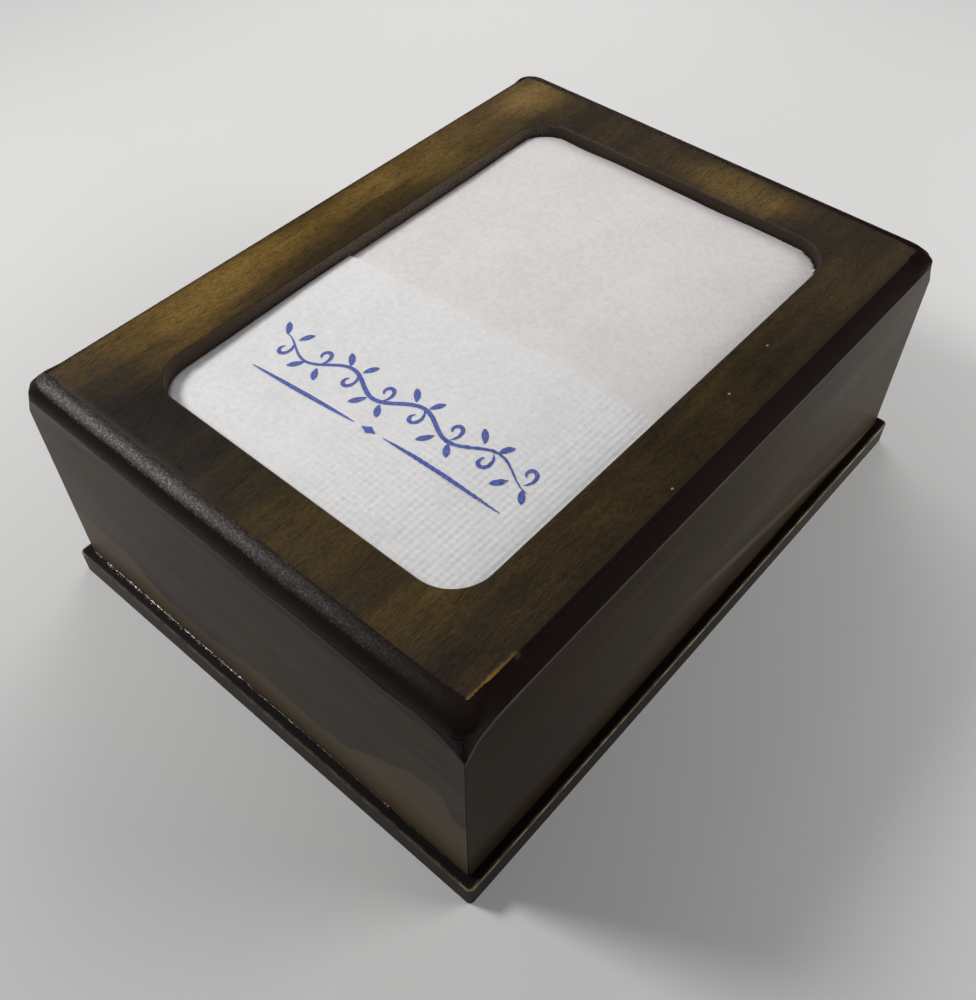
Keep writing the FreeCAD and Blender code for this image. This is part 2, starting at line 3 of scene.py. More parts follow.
import bmesh
import bpy
from mathutils import Matrix, Vector, noise


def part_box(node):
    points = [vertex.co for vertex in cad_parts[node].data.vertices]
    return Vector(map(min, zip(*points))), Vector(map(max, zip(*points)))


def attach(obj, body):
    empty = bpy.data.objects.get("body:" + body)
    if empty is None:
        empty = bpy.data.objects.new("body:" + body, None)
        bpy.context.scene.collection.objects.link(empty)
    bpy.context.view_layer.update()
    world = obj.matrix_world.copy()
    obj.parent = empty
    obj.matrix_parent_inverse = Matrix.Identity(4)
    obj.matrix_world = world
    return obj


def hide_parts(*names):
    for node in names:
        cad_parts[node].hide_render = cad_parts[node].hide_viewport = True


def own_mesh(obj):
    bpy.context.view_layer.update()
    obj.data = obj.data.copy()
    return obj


# A small varnished napkin box with a rear drawer and a sprung napkin lifter.
# The frame is in metres: Z up, the short fixed end looks to -Y, the drawer
# slides out to +Y. Sizes below are in millimetres unless a comment says so.

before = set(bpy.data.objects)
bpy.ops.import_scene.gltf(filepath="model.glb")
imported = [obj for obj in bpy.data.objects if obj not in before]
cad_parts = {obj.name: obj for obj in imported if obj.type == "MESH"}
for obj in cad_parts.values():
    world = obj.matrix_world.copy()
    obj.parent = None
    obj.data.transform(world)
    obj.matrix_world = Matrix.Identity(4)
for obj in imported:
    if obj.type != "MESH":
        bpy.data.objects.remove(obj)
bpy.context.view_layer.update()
MM = 0.001


# ---------------------------------------------------------------- measures

def node_box(node):
    """Lowest and highest corner of a CAD node, in millimetres."""
    low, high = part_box(node)
    return low / MM, high / MM


TOP_LOW, TOP_HIGH = node_box("top_board")
WALL_LOW, _ = node_box("front_wall")
_, SIDE_HIGH = node_box("right_wall")
_, BASE_HIGH = node_box("base_plate")
PILE_LOW, PILE_HIGH = node_box("napkin_stack")

SIDE_SETBACK = 3.2  # top arris of the long sides, in from the wall
SIDE_DROP = 3.9  # lower arris of the long sides, down from the top
END_ROUND = 4.5  # radius of the rounded short ends
TOP_ARRIS_X = SIDE_HIGH.x - SIDE_SETBACK
TOP_ARRIS_Y = TOP_HIGH.y - END_ROUND
LOW_ARRIS_Z = TOP_HIGH.z - SIDE_DROP
WINDOW_X = (-38.3, 40.5)
WINDOW_Y = (-58.95, 58.15)


# ---------------------------------------------------------------- helpers

def linear(code):
    """An sRGB hex colour as linear RGBA."""
    channels = [int(code[i:i + 2], 16) / 255 for i in (0, 2, 4)]
    curve = [c / 12.92 if c <= 0.04045 else ((c + 0.055) / 1.055) ** 2.4 for c in channels]
    return (*curve, 1.0)


def feed(tree, socket, value):
    """Give a socket a value or a hex colour, or link another socket or a node's first output."""
    if isinstance(value, bpy.types.Node):
        value = next(output for output in value.outputs if output.enabled)
    if isinstance(value, bpy.types.NodeSocket):
        tree.links.new(value, socket)
    else:
        socket.default_value = linear(value) if isinstance(value, str) else value


def add(tree, kind, inputs=(), stops=(), **settings):
    """Add one node: its settings, a ramp's stops, and its inputs by name or in order."""
    made = tree.nodes.new(kind)
    for name, value in settings.items():
        setattr(made, name, value)
    if stops:
        ramp = made.color_ramp
        while len(ramp.elements) < len(stops):
            ramp.elements.new(1.0)
        for element, (position, value) in zip(ramp.elements, stops):
            element.position = position
            element.color = linear(value) if isinstance(value, str) else (value, value, value, 1)
    if isinstance(inputs, dict):
        sockets = [made.inputs[name] for name in inputs]
        inputs = inputs.values()
    else:
        sockets = [socket for socket in made.inputs if socket.enabled]
    for socket, value in zip(sockets, inputs):
        feed(tree, socket, value)
    return made


def smooth_step(low, high, value):
    """0 below one number, 1 above another, and smooth between them."""
    share = min(max((value - low) / (high - low), 0.0), 1.0)
    return share * share * (3 - 2 * share)


def smooth_by_angle(mesh, degrees=28.0):
    """Smooth shading that keeps the edges sharper than an angle."""
    mesh.shade_smooth()
    mesh.set_sharp_from_angle(angle=math.radians(degrees))


def finished_mesh(name, shape, sharp_from=None):
    """A built shape as a mesh, shaded smooth up to an angle where one is given."""
    mesh = bpy.data.meshes.new(name)
    shape.to_mesh(mesh)
    shape.free()
    if sharp_from:
        smooth_by_angle(mesh, sharp_from)
    return mesh


def placed_object(name, data):
    """An object in the scene."""
    made = bpy.data.objects.new(name, data)
    bpy.context.scene.collection.objects.link(made)
    return made


# ---------------------------------------------------------------- patterns in wood, paper and glue

def graded(tree, value, low, high, to_low=0.0, to_high=1.0):
    """A value that turns smoothly from one level to another between two places."""
    levels = (value, low, high, to_low, to_high)
    return add(tree, "ShaderNodeMapRange", levels, interpolation_type="SMOOTHSTEP")


def weighed(tree, start, *shares):
    """Patterns added to a start, each times its weight: (pattern, weight) for each."""
    total = start
    for pattern, weight in shares:
        total = add(tree, "ShaderNodeMath", (pattern, weight, total), operation="MULTIPLY_ADD")
    return total


def unsteady(tree, value, pattern, swing):
    """A value that wanders with a pattern, by half the swing to either side."""
    off = add(tree, "ShaderNodeMath", (pattern, 0.5), operation="SUBTRACT")
    return weighed(tree, value, (off, swing))


def overlap(tree, *masks):
    """Where all the masks overlap: their product."""
    whole = masks[0]
    for mask in masks[1:]:
        whole = add(tree, "ShaderNodeMath", (whole, mask), operation="MULTIPLY")
    return whole


def painted(tree, under, over, *masks):
    """One colour over another where all the masks overlap: hex colours or patterns."""
    return add(tree, "ShaderNodeMix", (overlap(tree, *masks), under, over), data_type="RGBA")


def shaded(tree, colour, amount, factor):
    """A colour made darker or lighter by a grey value around 1."""
    shade = add(tree, "ShaderNodeCombineColor", (factor, factor, factor))
    return add(tree, "ShaderNodeMix", (amount, colour, shade), data_type="RGBA", blend_type="MULTIPLY")


def drawn_line(tree, value, points, low=-60.0, high=60.0, top=60.0):
    """A drawn line: the height that goes with a position, both in mm."""
    share = add(tree, "ShaderNodeMapRange", (value, low, high))
    stops = [((position - low) / (high - low), height / top) for position, height in points]
    line = add(tree, "ShaderNodeValToRGB", (share,), stops)
    return overlap(tree, line, top)


def stretched(tree, place, axis, along, across, offset=(0.0, 0.0, 0.0), **settings):
    """Noise whose spots are long along one axis: lengths in mm."""
    scale = [1 / across] * 3
    scale["XYZ".index(axis)] = 1 / along
    moved = add(tree, "ShaderNodeMapping", {"Vector": place, "Scale": scale, "Location": offset})
    inputs = {"Vector": moved, "Scale": 1.0}
    inputs.update({key.title(): value for key, value in settings.items()})
    return add(tree, "ShaderNodeTexNoise", inputs)


def spot(tree, place, centre, reach):
    """1 at a centre, falling to 0 at its reach, as an ellipsoid: all in mm."""
    way = add(tree, "ShaderNodeVectorMath", (place, centre), operation="SUBTRACT")
    share = add(tree, "ShaderNodeVectorMath", (way, reach), operation="DIVIDE")
    far = add(tree, "ShaderNodeVectorMath", (share,), operation="LENGTH")
    return graded(tree, far, 1.0, 0.15)


def outward(tree, parts, side, end):
    """How far a point lies past the given distances from the middle, in mm."""
    past = []
    for axis, limit in (("X", side), ("Y", end)):
        away = add(tree, "ShaderNodeMath", (parts[axis],), operation="ABSOLUTE")
        past.append(add(tree, "ShaderNodeMath", (away, limit), operation="SUBTRACT"))
    return add(tree, "ShaderNodeMath", past, operation="MAXIMUM")


def grain_of(tree, place, axis, seed):
    """Walnut-like grain: fibres, growth figure, open pores and cloudy stain."""
    shift = (seed * 7.3, seed * 3.1, seed * 5.7)
    return {
        "fibre": stretched(tree, place, axis, 9.0, 0.45, shift, detail=5.0, roughness=0.6),
        "figure": stretched(tree, place, axis, 60.0, 5.0, shift, detail=3.0, distortion=0.8),
        "pore": stretched(tree, place, axis, 3.2, 0.32, shift, detail=1.0),
        "cloud": stretched(tree, place, axis, 30.0, 17.0, shift, detail=4.0, roughness=0.55),
    }


def ply_waves(tree, parts, pair):
    """A wave through a sheet's thickness, one for each pair of plies, in mm."""
    turns = overlap(tree, parts["Z"], math.tau / pair)
    return add(tree, "ShaderNodeMath", (turns,), operation="SINE")


# ---------------------------------------------------------------- materials

def new_material(name):
    """An empty material: its tree, shader, place in mm, and that place along each axis."""
    made = bpy.data.materials.new(name)
    made.use_nodes = True
    tree = made.node_tree
    tree.nodes.clear()
    shader = add(tree, "ShaderNodeBsdfPrincipled")
    add(tree, "ShaderNodeOutputMaterial", {"Surface": shader})
    metres = add(tree, "ShaderNodeTexCoord").outputs["Object"]
    place = add(tree, "ShaderNodeMapping", {"Vector": metres, "Scale": (1 / MM,) * 3})
    parts = add(tree, "ShaderNodeSeparateXYZ", (place,)).outputs
    return made, tree, shader, place, parts


def finish_shader(tree, shader, colour, roughness, relief=None, depth=0.0, **more):
    """Feed the shader its inputs by name, and a relief of a depth in mm."""
    more.setdefault("specular_ior_level", 0.1 if "coat_weight" in more else 0.5)
    for name, value in {"base_color": colour, "roughness": roughness, **more}.items():
        feed(tree, shader.inputs[name.replace("_", " ").title().replace("Ior", "IOR")], value)
    if relief is not None:
        for normal, share in (("Normal", 1.0), ("Coat Normal", 0.35)):
            bump = add(tree, "ShaderNodeBump", {"Height": relief, "Distance": depth * MM * share})
            feed(tree, shader.inputs[normal], bump)


def stain_clouds(tree, place, grain):
    """Olive gold where the stain is thin, near black where it pooled."""
    stains = [  # place, reach and strength on the board: thin stain above 0, pooled below
        ((-50.0, -34.0), (16.0, 44.0), 0.40), ((-47.0, 30.0), (14.0, 62.0), 0.38),
        ((-46.0, 66.0), (16.0, 16.0), 0.36), ((-24.0, -66.0), (27.0, 20.0), -0.24),
        ((10.0, -66.0), (19.0, 17.0), 0.12), ((33.0, -66.0), (24.0, 20.0), 0.02),
        ((-18.0, 66.0), (26.0, 14.0), 0.12), ((13.0, 64.0), (24.0, 11.0), 0.42),
        ((45.0, 60.0), (14.0, 22.0), 0.10),
    ]
    through = 30.0  # reach up and down, well past the board
    shares = [
        (spot(tree, place, (*centre, TOP_HIGH.z), (*reach, through)), strength)
        for centre, reach, strength in stains
    ]
    thin = weighed(tree, -0.08, (grain["cloud"], 0.75), *shares)
    thin = unsteady(tree, thin, grain["figure"], 0.55)
    return add(tree, "ShaderNodeValToRGB", (thin,), [
        (0.05, "211910"), (0.3, "352914"), (0.5, "4a3815"), (0.72, "6c531f"), (1.0, "8c6d33"),
    ])


def knot_and_crack(tree, place, parts, colour):
    """A small knot and a short crack at the fixed end, and three pale specks at the side."""
    knot = spot(tree, place, (-2.5, -68.9, TOP_HIGH.z), (2.6, 1.6, 3.0))
    off_crack = weighed(tree, -15.1, (parts["X"], 1.0), (parts["Y"], 0.136))
    off_crack = add(tree, "ShaderNodeMath", (off_crack,), operation="ABSOLUTE")
    crack_reach = spot(tree, place, (23.5, -63.0, TOP_HIGH.z), (8.0, 8.5, 9.0))
    crack = overlap(tree, graded(tree, off_crack, 0.34, 0.1), crack_reach)
    marks = (overlap(tree, knot, 0.6), overlap(tree, crack, 0.7))
    colour = painted(tree, colour, "251a0e", add(tree, "ShaderNodeMath", marks, operation="MAXIMUM"))
    for x, y in ((46.7, 8.7), (45.0, 24.5), (52.0, -17.0)):
        speck = spot(tree, place, (x, y, TOP_HIGH.z), (0.34, 0.42, 2.0))
        colour = painted(tree, colour, "b39a5c", speck)
    return colour


def rim_and_ends(tree, parts, colour, grain, strand):
    """Stain over the rounded edge, a painted highlight along the fixed end, a painted sheen towards the far
    end, and an arris rubbed raw.
    """
    x, y, z = parts
    past_arris = outward(tree, parts, TOP_ARRIS_X - 0.2, TOP_ARRIS_Y + 0.1)
    rim = graded(tree, unsteady(tree, past_arris, grain["cloud"], 2.6), -0.9, 0.6, 0.0, 0.7)
    colour = painted(tree, colour, "241913", rim, graded(tree, y, -71.0, -69.0, 0.2, 1.0))
    # painted highlight: the top greyer along the fixed end, where the rounded edge catches the light
    painted_end_highlight = graded(tree, y, -69.0, -70.6)
    colour = painted(tree, colour, "463d37", painted_end_highlight, graded(tree, x, 10.0, -30.0), 0.6)
    # painted sheen: the top greyer towards the far end, standing for a reflection
    colour = painted(tree, colour, "403f40", graded(tree, y, 0.0, TOP_HIGH.y, 0.0, 0.22))
    past_raw = unsteady(tree, weighed(tree, x, (y, -0.012)), strand, 1.6)
    raw = overlap(
        tree, graded(tree, past_raw, TOP_ARRIS_X, TOP_ARRIS_X + 0.5), graded(tree, y, -58.6, -60.0),
        graded(tree, z, TOP_HIGH.z - 0.5, TOP_HIGH.z - 0.2), graded(tree, y, -60.0, -66.0, 0.45, 1.0),
    )
    return painted(tree, colour, "8a6a2b", raw, 0.9)


def window_cut(tree, place, parts, colour):
    """The window's cut wall: dark, with pale raised fuzz towards the far left."""
    x, y, z = parts
    past_window = outward(tree, parts, 42.0, 60.5)
    cut_wall = graded(tree, past_window, 0.0, -0.3)
    fuzz = stretched(tree, place, "Z", 0.5, 0.45, detail=5.0, roughness=0.75)
    fuzz = overlap(
        tree, graded(tree, fuzz, 0.42, 0.6), graded(tree, y, -45.0, -5.0),
        graded(tree, x, -34.0, -36.0), 0.4,
    )
    wall_colour = painted(tree, "3c3025", "857b6b", fuzz)
    under_face = graded(tree, z, TOP_HIGH.z - 0.15, TOP_HIGH.z - 0.4)
    return painted(tree, colour, wall_colour, cut_wall, under_face)


def stained_top():
    """Top board: soft wood brushed with a thin walnut stain that took unevenly.

    The eye sees olive gold where the stain is thin, near black where it pooled,
    short raised fibres under a half rubbed finish, and a dark rim where the
    stain ran over the rounded edge.
    """
    made, tree, shader, place, parts = new_material("walnut_stained_top")
    grain = grain_of(tree, place, "Y", 1)
    strand = stretched(tree, place, "Y", 1.3, 0.3, (3.0, 8.0, 0.0), detail=6.0, roughness=0.8)
    pores = graded(tree, grain["pore"], 0.62, 0.74)
    colour = stain_clouds(tree, place, grain)
    colour = shaded(tree, colour, 1.0, graded(tree, strand, 0.33, 0.67, 0.5, 1.5))
    colour = shaded(tree, colour, 0.35, graded(tree, grain["fibre"], 0.3, 0.7, 0.72, 1.2))
    colour = painted(tree, colour, "1a130b", pores, 0.45)
    colour = knot_and_crack(tree, place, parts, colour)
    colour = rim_and_ends(tree, parts, colour, grain, strand)
    colour = window_cut(tree, place, parts, colour)
    relief = weighed(tree, grain["fibre"], (strand, 1.0), (pores, -0.6))
    rough = graded(tree, grain["cloud"], 0.3, 0.7, 0.46, 0.6)
    finish_shader(tree, shader, colour, rough, relief, 0.12, specular_ior_level=0.3)
    return made


def pooled_band():
    """Rounded outer edges: the stain pooled there under gloss varnish.

    Near black with a red cast. Along the upper part of the short ends, raised fibres
    carry a broken grey painted highlight; below it the varnish soaked in.
    """
    made, tree, shader, place, (x, y, z) = new_material("pooled_stain_band")
    cloud = grain_of(tree, place, "Y", 11)["cloud"]
    fuzz = stretched(tree, place, "Y", 0.55, 0.36, detail=6.0, roughness=0.85)
    height = unsteady(tree, unsteady(tree, z, cloud, 1.1), fuzz, 1.4)
    to_end = add(tree, "ShaderNodeMath", (y,), operation="ABSOLUTE")
    painted_highlight = overlap(
        tree, graded(tree, height, TOP_HIGH.z - 1.3, TOP_HIGH.z - 1.0), graded(tree, to_end, 70.0, 70.8),
        add(tree, "ShaderNodeMapRange", (x, -12.0, 52.0, 1.0, 0.0)), graded(tree, fuzz, 0.42, 0.6, 0.25, 1.0),
        graded(tree, z, TOP_HIGH.z - 0.75, TOP_HIGH.z - 0.05, 1.0, 0.65),
    )
    colour = painted(tree, "150b09", "1f120d", cloud)
    # painted highlight: grey light and pale glints put into the colour where the edge catches the lamp
    colour = painted(tree, colour, "50443e", painted_highlight, 0.7)
    colour = painted(tree, colour, "a39a96", graded(tree, fuzz, 0.54, 0.62), painted_highlight, 0.6)
    chip = spot(tree, place, (TOP_ARRIS_X + 0.2, -59.4, TOP_HIGH.z - 0.3), (0.9, 1.0, 0.9))
    colour = painted(tree, colour, "4d3a20", chip, 0.8)
    coat = weighed(tree, 0.05, (painted_highlight, 0.95))
    rough = weighed(tree, 0.4, (fuzz, 0.2))
    finish_shader(tree, shader, colour, rough, fuzz, 0.18, coat_weight=coat, coat_roughness=0.35)
    return made


# where the painted shade under the top edge ends: its line, the axis along the board,
# that axis's ends, and how strong the painted highlight below the line is
NO_EDGE_SHADE = ([(-120.0, 60.0), (120.0, 60.0)], "X", -120.0, 120.0, 0.0)
FRONT_EDGE_SHADE = ([
    (-57.0, 55.4), (-46.0, 55.0), (-30.0, 54.7), (-20.0, 54.2), (-8.0, 54.6), (2.0, 54.5), (10.0, 53.9),
    (20.0, 54.4), (30.0, 54.2), (40.0, 53.6), (46.0, 54.5), (50.0, 54.0), (54.0, 52.2), (57.0, 49.0),
], "X", -60.0, 60.0, 0.08)
SIDE_EDGE_SHADE = ([
    (-76.0, 48.5), (-74.0, 51.5), (-72.0, 53.6), (-68.0, 55.0), (-60.0, 55.7), (0.0, 55.9), (78.0, 56.0),
], "Y", -80.0, 80.0, 0.4)


def varnished_walnut(name, axis, seed, tones, detail=None, edge_shade_line=NO_EDGE_SHADE):
    """Side boards: dark walnut stain under a brushed satin varnish.

    The eye sees little colour of its own but soft reflections, with faint
    brush lines along the grain. Under the top edge, painted shade darkens it
    where the edge turns from the light, with a painted highlight along its lower line.
    """
    made, tree, shader, place, parts = new_material(name)
    grain = grain_of(tree, place, axis, seed)
    thin = weighed(tree, overlap(tree, grain["cloud"], 0.6), (grain["figure"], 0.5))
    tone = add(tree, "ShaderNodeValToRGB", (thin,), tuple(zip((0.35, 0.55, 0.75), tones)))
    colour = shaded(tree, tone, 0.6, graded(tree, grain["fibre"], 0.3, 0.72, 0.75, 1.2))
    if detail:
        colour = detail(tree, parts, colour, grain)
    line, position, low, high, painted_gleam = edge_shade_line
    edge = drawn_line(tree, parts[position], line, low, high)
    over = weighed(tree, parts["Z"], (edge, -1.0))
    over = unsteady(tree, over, grain["fibre"], 1.1)
    # painted shade: darker above the line, where the top edge turns away from the light
    run = graded(tree, over, -0.2, 0.3)
    bare = weighed(tree, 1.0, (run, -1.0))
    # a painted highlight just under the line, then the painted shade above it
    colour = painted(tree, colour, "85786a", graded(tree, over, -1.1, -0.4), bare, painted_gleam)
    colour = painted(tree, colour, "150b09", run)
    coat = weighed(tree, 0.12, (run, -0.1))
    relief = weighed(tree, overlap(tree, grain["fibre"], 0.5), (grain["figure"], 1.2))
    rough = graded(tree, grain["cloud"], 0.3, 0.7, 0.5, 0.6)
    finish_shader(tree, shader, colour, rough, relief, 0.045, coat_weight=coat, coat_roughness=0.2)
    return made


def pale_foot(tree, parts, colour, grain):
    """A paler wedge along the foot of the front wall, and paler towards its left end."""
    edge = drawn_line(tree, parts["X"], [
        (-46.9, 21.7), (-37.1, 20.8), (-28.7, 14.4), (-12.7, 14.3), (2.4, 18.0), (17.1, 17.1),
        (26.4, 18.1), (35.6, 25.1), (44.1, 31.4), (50.9, 31.9), (52.9, 25.8),
    ])
    above = weighed(tree, unsteady(tree, parts["Z"], grain["fibre"], 2.5), (edge, -1.0))
    colour = painted(tree, colour, "63533d", graded(tree, above, 0.8, -0.8), 0.7)
    return painted(tree, colour, "5c4d43", graded(tree, parts["X"], -40.0, -56.0), 0.35)


def side_shade_and_streak(tree, parts, colour, _grain):
    """Darker towards the fixed end as painted shade, with one faint light streak."""
    streak = drawn_line(tree, parts["Y"], [(-78.0, 28.0), (-5.7, 20.3), (78.0, 4.7)], -80.0, 80.0)
    off_streak = weighed(tree, parts["Z"], (streak, -1.0))
    off_streak = add(tree, "ShaderNodeMath", (off_streak,), operation="ABSOLUTE")
    masks = graded(tree, off_streak, 2.2, 0.2), graded(tree, parts["Y"], -20.0, 10.0)
    colour = painted(tree, colour, "6f6353", *masks, 0.35)
    # painted shade: the side darker towards the fixed end, where it mirrors the shadowed table
    return painted(tree, colour, "241b11", graded(tree, parts["Y"], 0.0, -70.0), 0.5)


def rubbed_arris():
    """Light lines where stain and varnish are rubbed thin; along the sides' lower arris, a painted highlight
    too.
    """
    made, tree, shader, place, parts = new_material("rubbed_arris")
    x, y, z = parts
    patch = stretched(tree, place, "Y", 5.0, 2.0, detail=4.0, roughness=0.7)
    to_side = add(tree, "ShaderNodeMath", (x,), operation="ABSOLUTE")
    # painted highlight: the lower arris of the long sides, as the varnish ridge catches the light, over the
    # wear
    low_arris_highlight_and_wear = overlap(
        tree, graded(tree, to_side, SIDE_HIGH.x - 1.3, SIDE_HIGH.x - 0.5),
        graded(tree, z, LOW_ARRIS_Z + 0.8, LOW_ARRIS_Z + 0.4),
    )
    foot_line = graded(tree, z, BASE_HIGH.z + 0.6, BASE_HIGH.z + 0.1, 0.0, 0.3)
    window_line = overlap(
        tree, graded(tree, outward(tree, parts, 44.0, 62.0), 0.2, -0.2),
        graded(tree, x, -30.0, -37.0, 0.55, 1.0),
    )
    lines = add(tree, "ShaderNodeMath", (low_arris_highlight_and_wear, foot_line), operation="MAXIMUM")
    lines = add(tree, "ShaderNodeMath", (lines, window_line), operation="MAXIMUM")
    colour = painted(tree, "21170f", "9a866a", lines, graded(tree, patch, 0.4, 0.6, 0.35, 1.0))
    raw = overlap(
        tree, graded(tree, y, -58.5, -60.0), graded(tree, x, 50.0, 51.0),
        graded(tree, z, TOP_HIGH.z - 0.8, TOP_HIGH.z - 0.4), graded(tree, patch, 0.4, 0.5, 0.5, 1.0),
    )
    colour = painted(tree, colour, "8f7030", raw)
    finish_shader(tree, shader, colour, 0.5, patch, 0.08, specular_ior_level=0.3)
    return made


def plywood_base():
    """Base plate: stained plywood with a dull, greyer cut edge; stain and painted shade darken its top, a
    painted reflection pales its ends.
    """
    made, tree, shader, place, parts = new_material("stained_plywood")
    x, y, z = parts
    grain = grain_of(tree, place, "Y", 4)
    plies = painted(tree, "201c15", "2b261e", graded(tree, ply_waves(tree, parts, 2.1), -0.4, 0.4))
    rubbed = painted(tree, "18140f", plies, graded(tree, grain["fibre"], 0.35, 0.7))
    ends = (graded(tree, x, -20.0, -56.0), graded(tree, y, 0.0, 70.0))
    # painted reflection: the cut edge paler towards the left and far ends, as the pale table mirrored in it
    painted_pale_reflection = add(tree, "ShaderNodeMath", ends, operation="MAXIMUM")
    rubbed = painted(tree, rubbed, "4d4a42", painted_pale_reflection, 0.4)
    # the top darker than the edge, partly stain and partly painted shade in the strip beside the walls
    top = painted(tree, "0b0806", "140f0b", grain["cloud"])
    top_stain_and_shade = graded(tree, z, BASE_HIGH.z - 0.5, BASE_HIGH.z - 0.1)
    colour = painted(tree, rubbed, top, top_stain_and_shade)
    worn = stretched(tree, place, "Y", 6.0, 2.0, detail=4.0, roughness=0.7)
    arris = overlap(
        tree, graded(tree, outward(tree, parts, BASE_HIGH.x, BASE_HIGH.y), -0.75, -0.4),
        graded(tree, z, BASE_HIGH.z - 0.7, BASE_HIGH.z - 0.4), graded(tree, worn, 0.4, 0.6, 0.2, 0.8),
    )
    colour = painted(tree, colour, "4d463b", arris)
    finish_shader(tree, shader, colour, 0.5, grain["fibre"], 0.05, specular_ior_level=0.12)
    return made


def bare_wood(name, axis, light, dark, seed, ply=0.0):
    """Sanded wood with no finish: straight fine grain and a dull surface."""
    made, tree, shader, place, parts = new_material(name)
    grain = grain_of(tree, place, axis, seed)
    colour = painted(tree, dark, light, graded(tree, grain["figure"], 0.35, 0.65))
    colour = shaded(tree, colour, 0.8, graded(tree, grain["fibre"], 0.3, 0.72, 0.86, 1.08))
    if ply:
        layers = graded(tree, ply_waves(tree, parts, ply), 0.2, 0.5, 0.0, 0.35)
        colour = painted(tree, colour, "8d6a43", layers)
    finish_shader(tree, shader, colour, 0.6, grain["fibre"], 0.05)
    return made


def plated_steel(name, colour, rough):
    """Zinc plated or drawn steel: a metal with fine turning marks."""
    made, tree, shader, place, _ = new_material(name)
    marks = stretched(tree, place, "Z", 0.25, 2.5, detail=3.0)
    tint = painted(tree, colour, "8e8f8c", marks)
    roughness = graded(tree, marks, 0.3, 0.7, rough - 0.06, rough + 0.08)
    finish_shader(tree, shader, tint, roughness, marks, 0.01, metallic=1.0)
    return made


def tissue(name, tint, shade):
    """Paper tissue: soft crossing fibres, matt, a little thicker in places."""
    made, tree, shader, place, _ = new_material(name)
    fibre = stretched(tree, place, "X", 1.6, 0.28, detail=4.0, roughness=0.65)
    cloud = stretched(tree, place, "Y", 14.0, 9.0, detail=3.0)
    mottle = stretched(tree, place, "Y", 1.4, 1.1, detail=4.0, roughness=0.7)
    thick = weighed(tree, overlap(tree, cloud, 0.2), (fibre, 0.35), (mottle, 0.45))
    colour = painted(tree, shade, tint, graded(tree, thick, 0.36, 0.62))
    finish_shader(tree, shader, colour, 0.95, fibre, 0.035, sheen_weight=0.15, sheen_roughness=0.6)
    return made


def printed_ink():
    """Pale blue flexographic ink, thin on soft tissue, so it breaks up a little."""
    made, tree, shader, place, _ = new_material("blue_print_ink")
    breaks = stretched(tree, place, "X", 0.5, 0.3, detail=3.0, roughness=0.7)
    colour = painted(tree, "43539f", "717cb8", graded(tree, breaks, 0.35, 0.7))
    finish_shader(tree, shader, colour, 0.85)
    return made


def run_varnish():
    """Varnish and glue that ran into the joint: dark, wet looking, crumbly."""
    made, tree, shader, place, _ = new_material("run_varnish")
    lumps = stretched(tree, place, "X", 1.2, 0.5, detail=4.0, roughness=0.7)
    colour = painted(tree, "120d08", "3b3026", graded(tree, lumps, 0.42, 0.62))
    finish_shader(tree, shader, colour, 0.25, lumps, 0.2, coat_weight=1.0, coat_roughness=0.06)
    return made


def glue_crumbs_and_glints():
    """Crumbs of dry glue caught in the varnish, painted near white as glints of light, with a hard shine."""
    made, tree, shader, place, _ = new_material("glue_crumbs_painted_glints")
    lumps = stretched(tree, place, "Z", 0.3, 0.3, detail=2.0)
    # painted glints: the crumbs near white, for the light glinting on the wet varnish
    finish_shader(tree, shader, painted(tree, "e8e4dc", "8d867b", lumps), 0.2)
    return made


MATERIALS = {
    "top": stained_top(),
    "band": pooled_band(),
    "front": varnished_walnut(
        "varnished_walnut_front", "X", 2, ("2b241b", "3c3327", "4d4132"), pale_foot, FRONT_EDGE_SHADE
    ),
    "side": varnished_walnut(
        "varnished_walnut_side", "Y", 3, ("251b11", "33281b", "413524"), side_shade_and_streak, SIDE_EDGE_SHADE
    ),
    "drawer_front": varnished_walnut("varnished_walnut_drawer", "X", 5, ("2a2118", "3a3025", "463b2d")),
    "turned": varnished_walnut("varnished_walnut_turned", "Y", 6, ("241b13", "30261b", "3c3124")),
    "worn": rubbed_arris(),
    "base": plywood_base(),
    "pine": bare_wood("sanded_pine", "Y", "d9bb8a", "c59c63", 7),
    "pine_across": bare_wood("sanded_pine_across", "X", "d9bb8a", "c59c63", 8),
    "birch": bare_wood("birch_plywood", "Y", "dcc7a0", "cfb384", 9, ply=1.5),
    "zinc": plated_steel("zinc_plated_steel", "c4c5c1", 0.3),
    "spring": plated_steel("drawn_spring_wire", "7c7d80", 0.28),
    "front_tissue": tissue("embossed_tissue_front", "ebe9e7", "dcdbda"),
    "rear_tissue": tissue("embossed_tissue_rear", "e6e1de", "d8d3d0"),
    "pile_tissue": tissue("folded_tissue", "e4e1dd", "d5d2ce"),
    "ink": printed_ink(),
    "bead": run_varnish(),
    "crumb": glue_crumbs_and_glints(),
}

CAD_FINISH = {
    "base_screws": "zinc", "knob_screw": "zinc", "drawer_pins": "zinc", "drawer_knob": "turned",
    "kicker_left": "pine", "kicker_right": "pine",
    "stop_button_left": "pine", "stop_button_right": "pine",
    "lower_seat_front": "pine", "lower_seat_rear": "pine",
    "upper_seat_front": "pine", "upper_seat_rear": "pine",
}
for node, finish in CAD_FINISH.items():
    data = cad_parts[node].data
    data.materials.clear()
    data.materials.append(MATERIALS[finish])


def new_piece(name, mesh, finish, slot, body, *replaced):
    """Put a finished mesh in the scene, in its material, on its body."""
    piece = placed_object(name, mesh)
    if finish:
        mesh.materials.clear()
        mesh.materials.append(MATERIALS[finish])
    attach(piece, body)
    if replaced:
        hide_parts(*replaced)
    return piece


# ---------------------------------------------------------------- boards

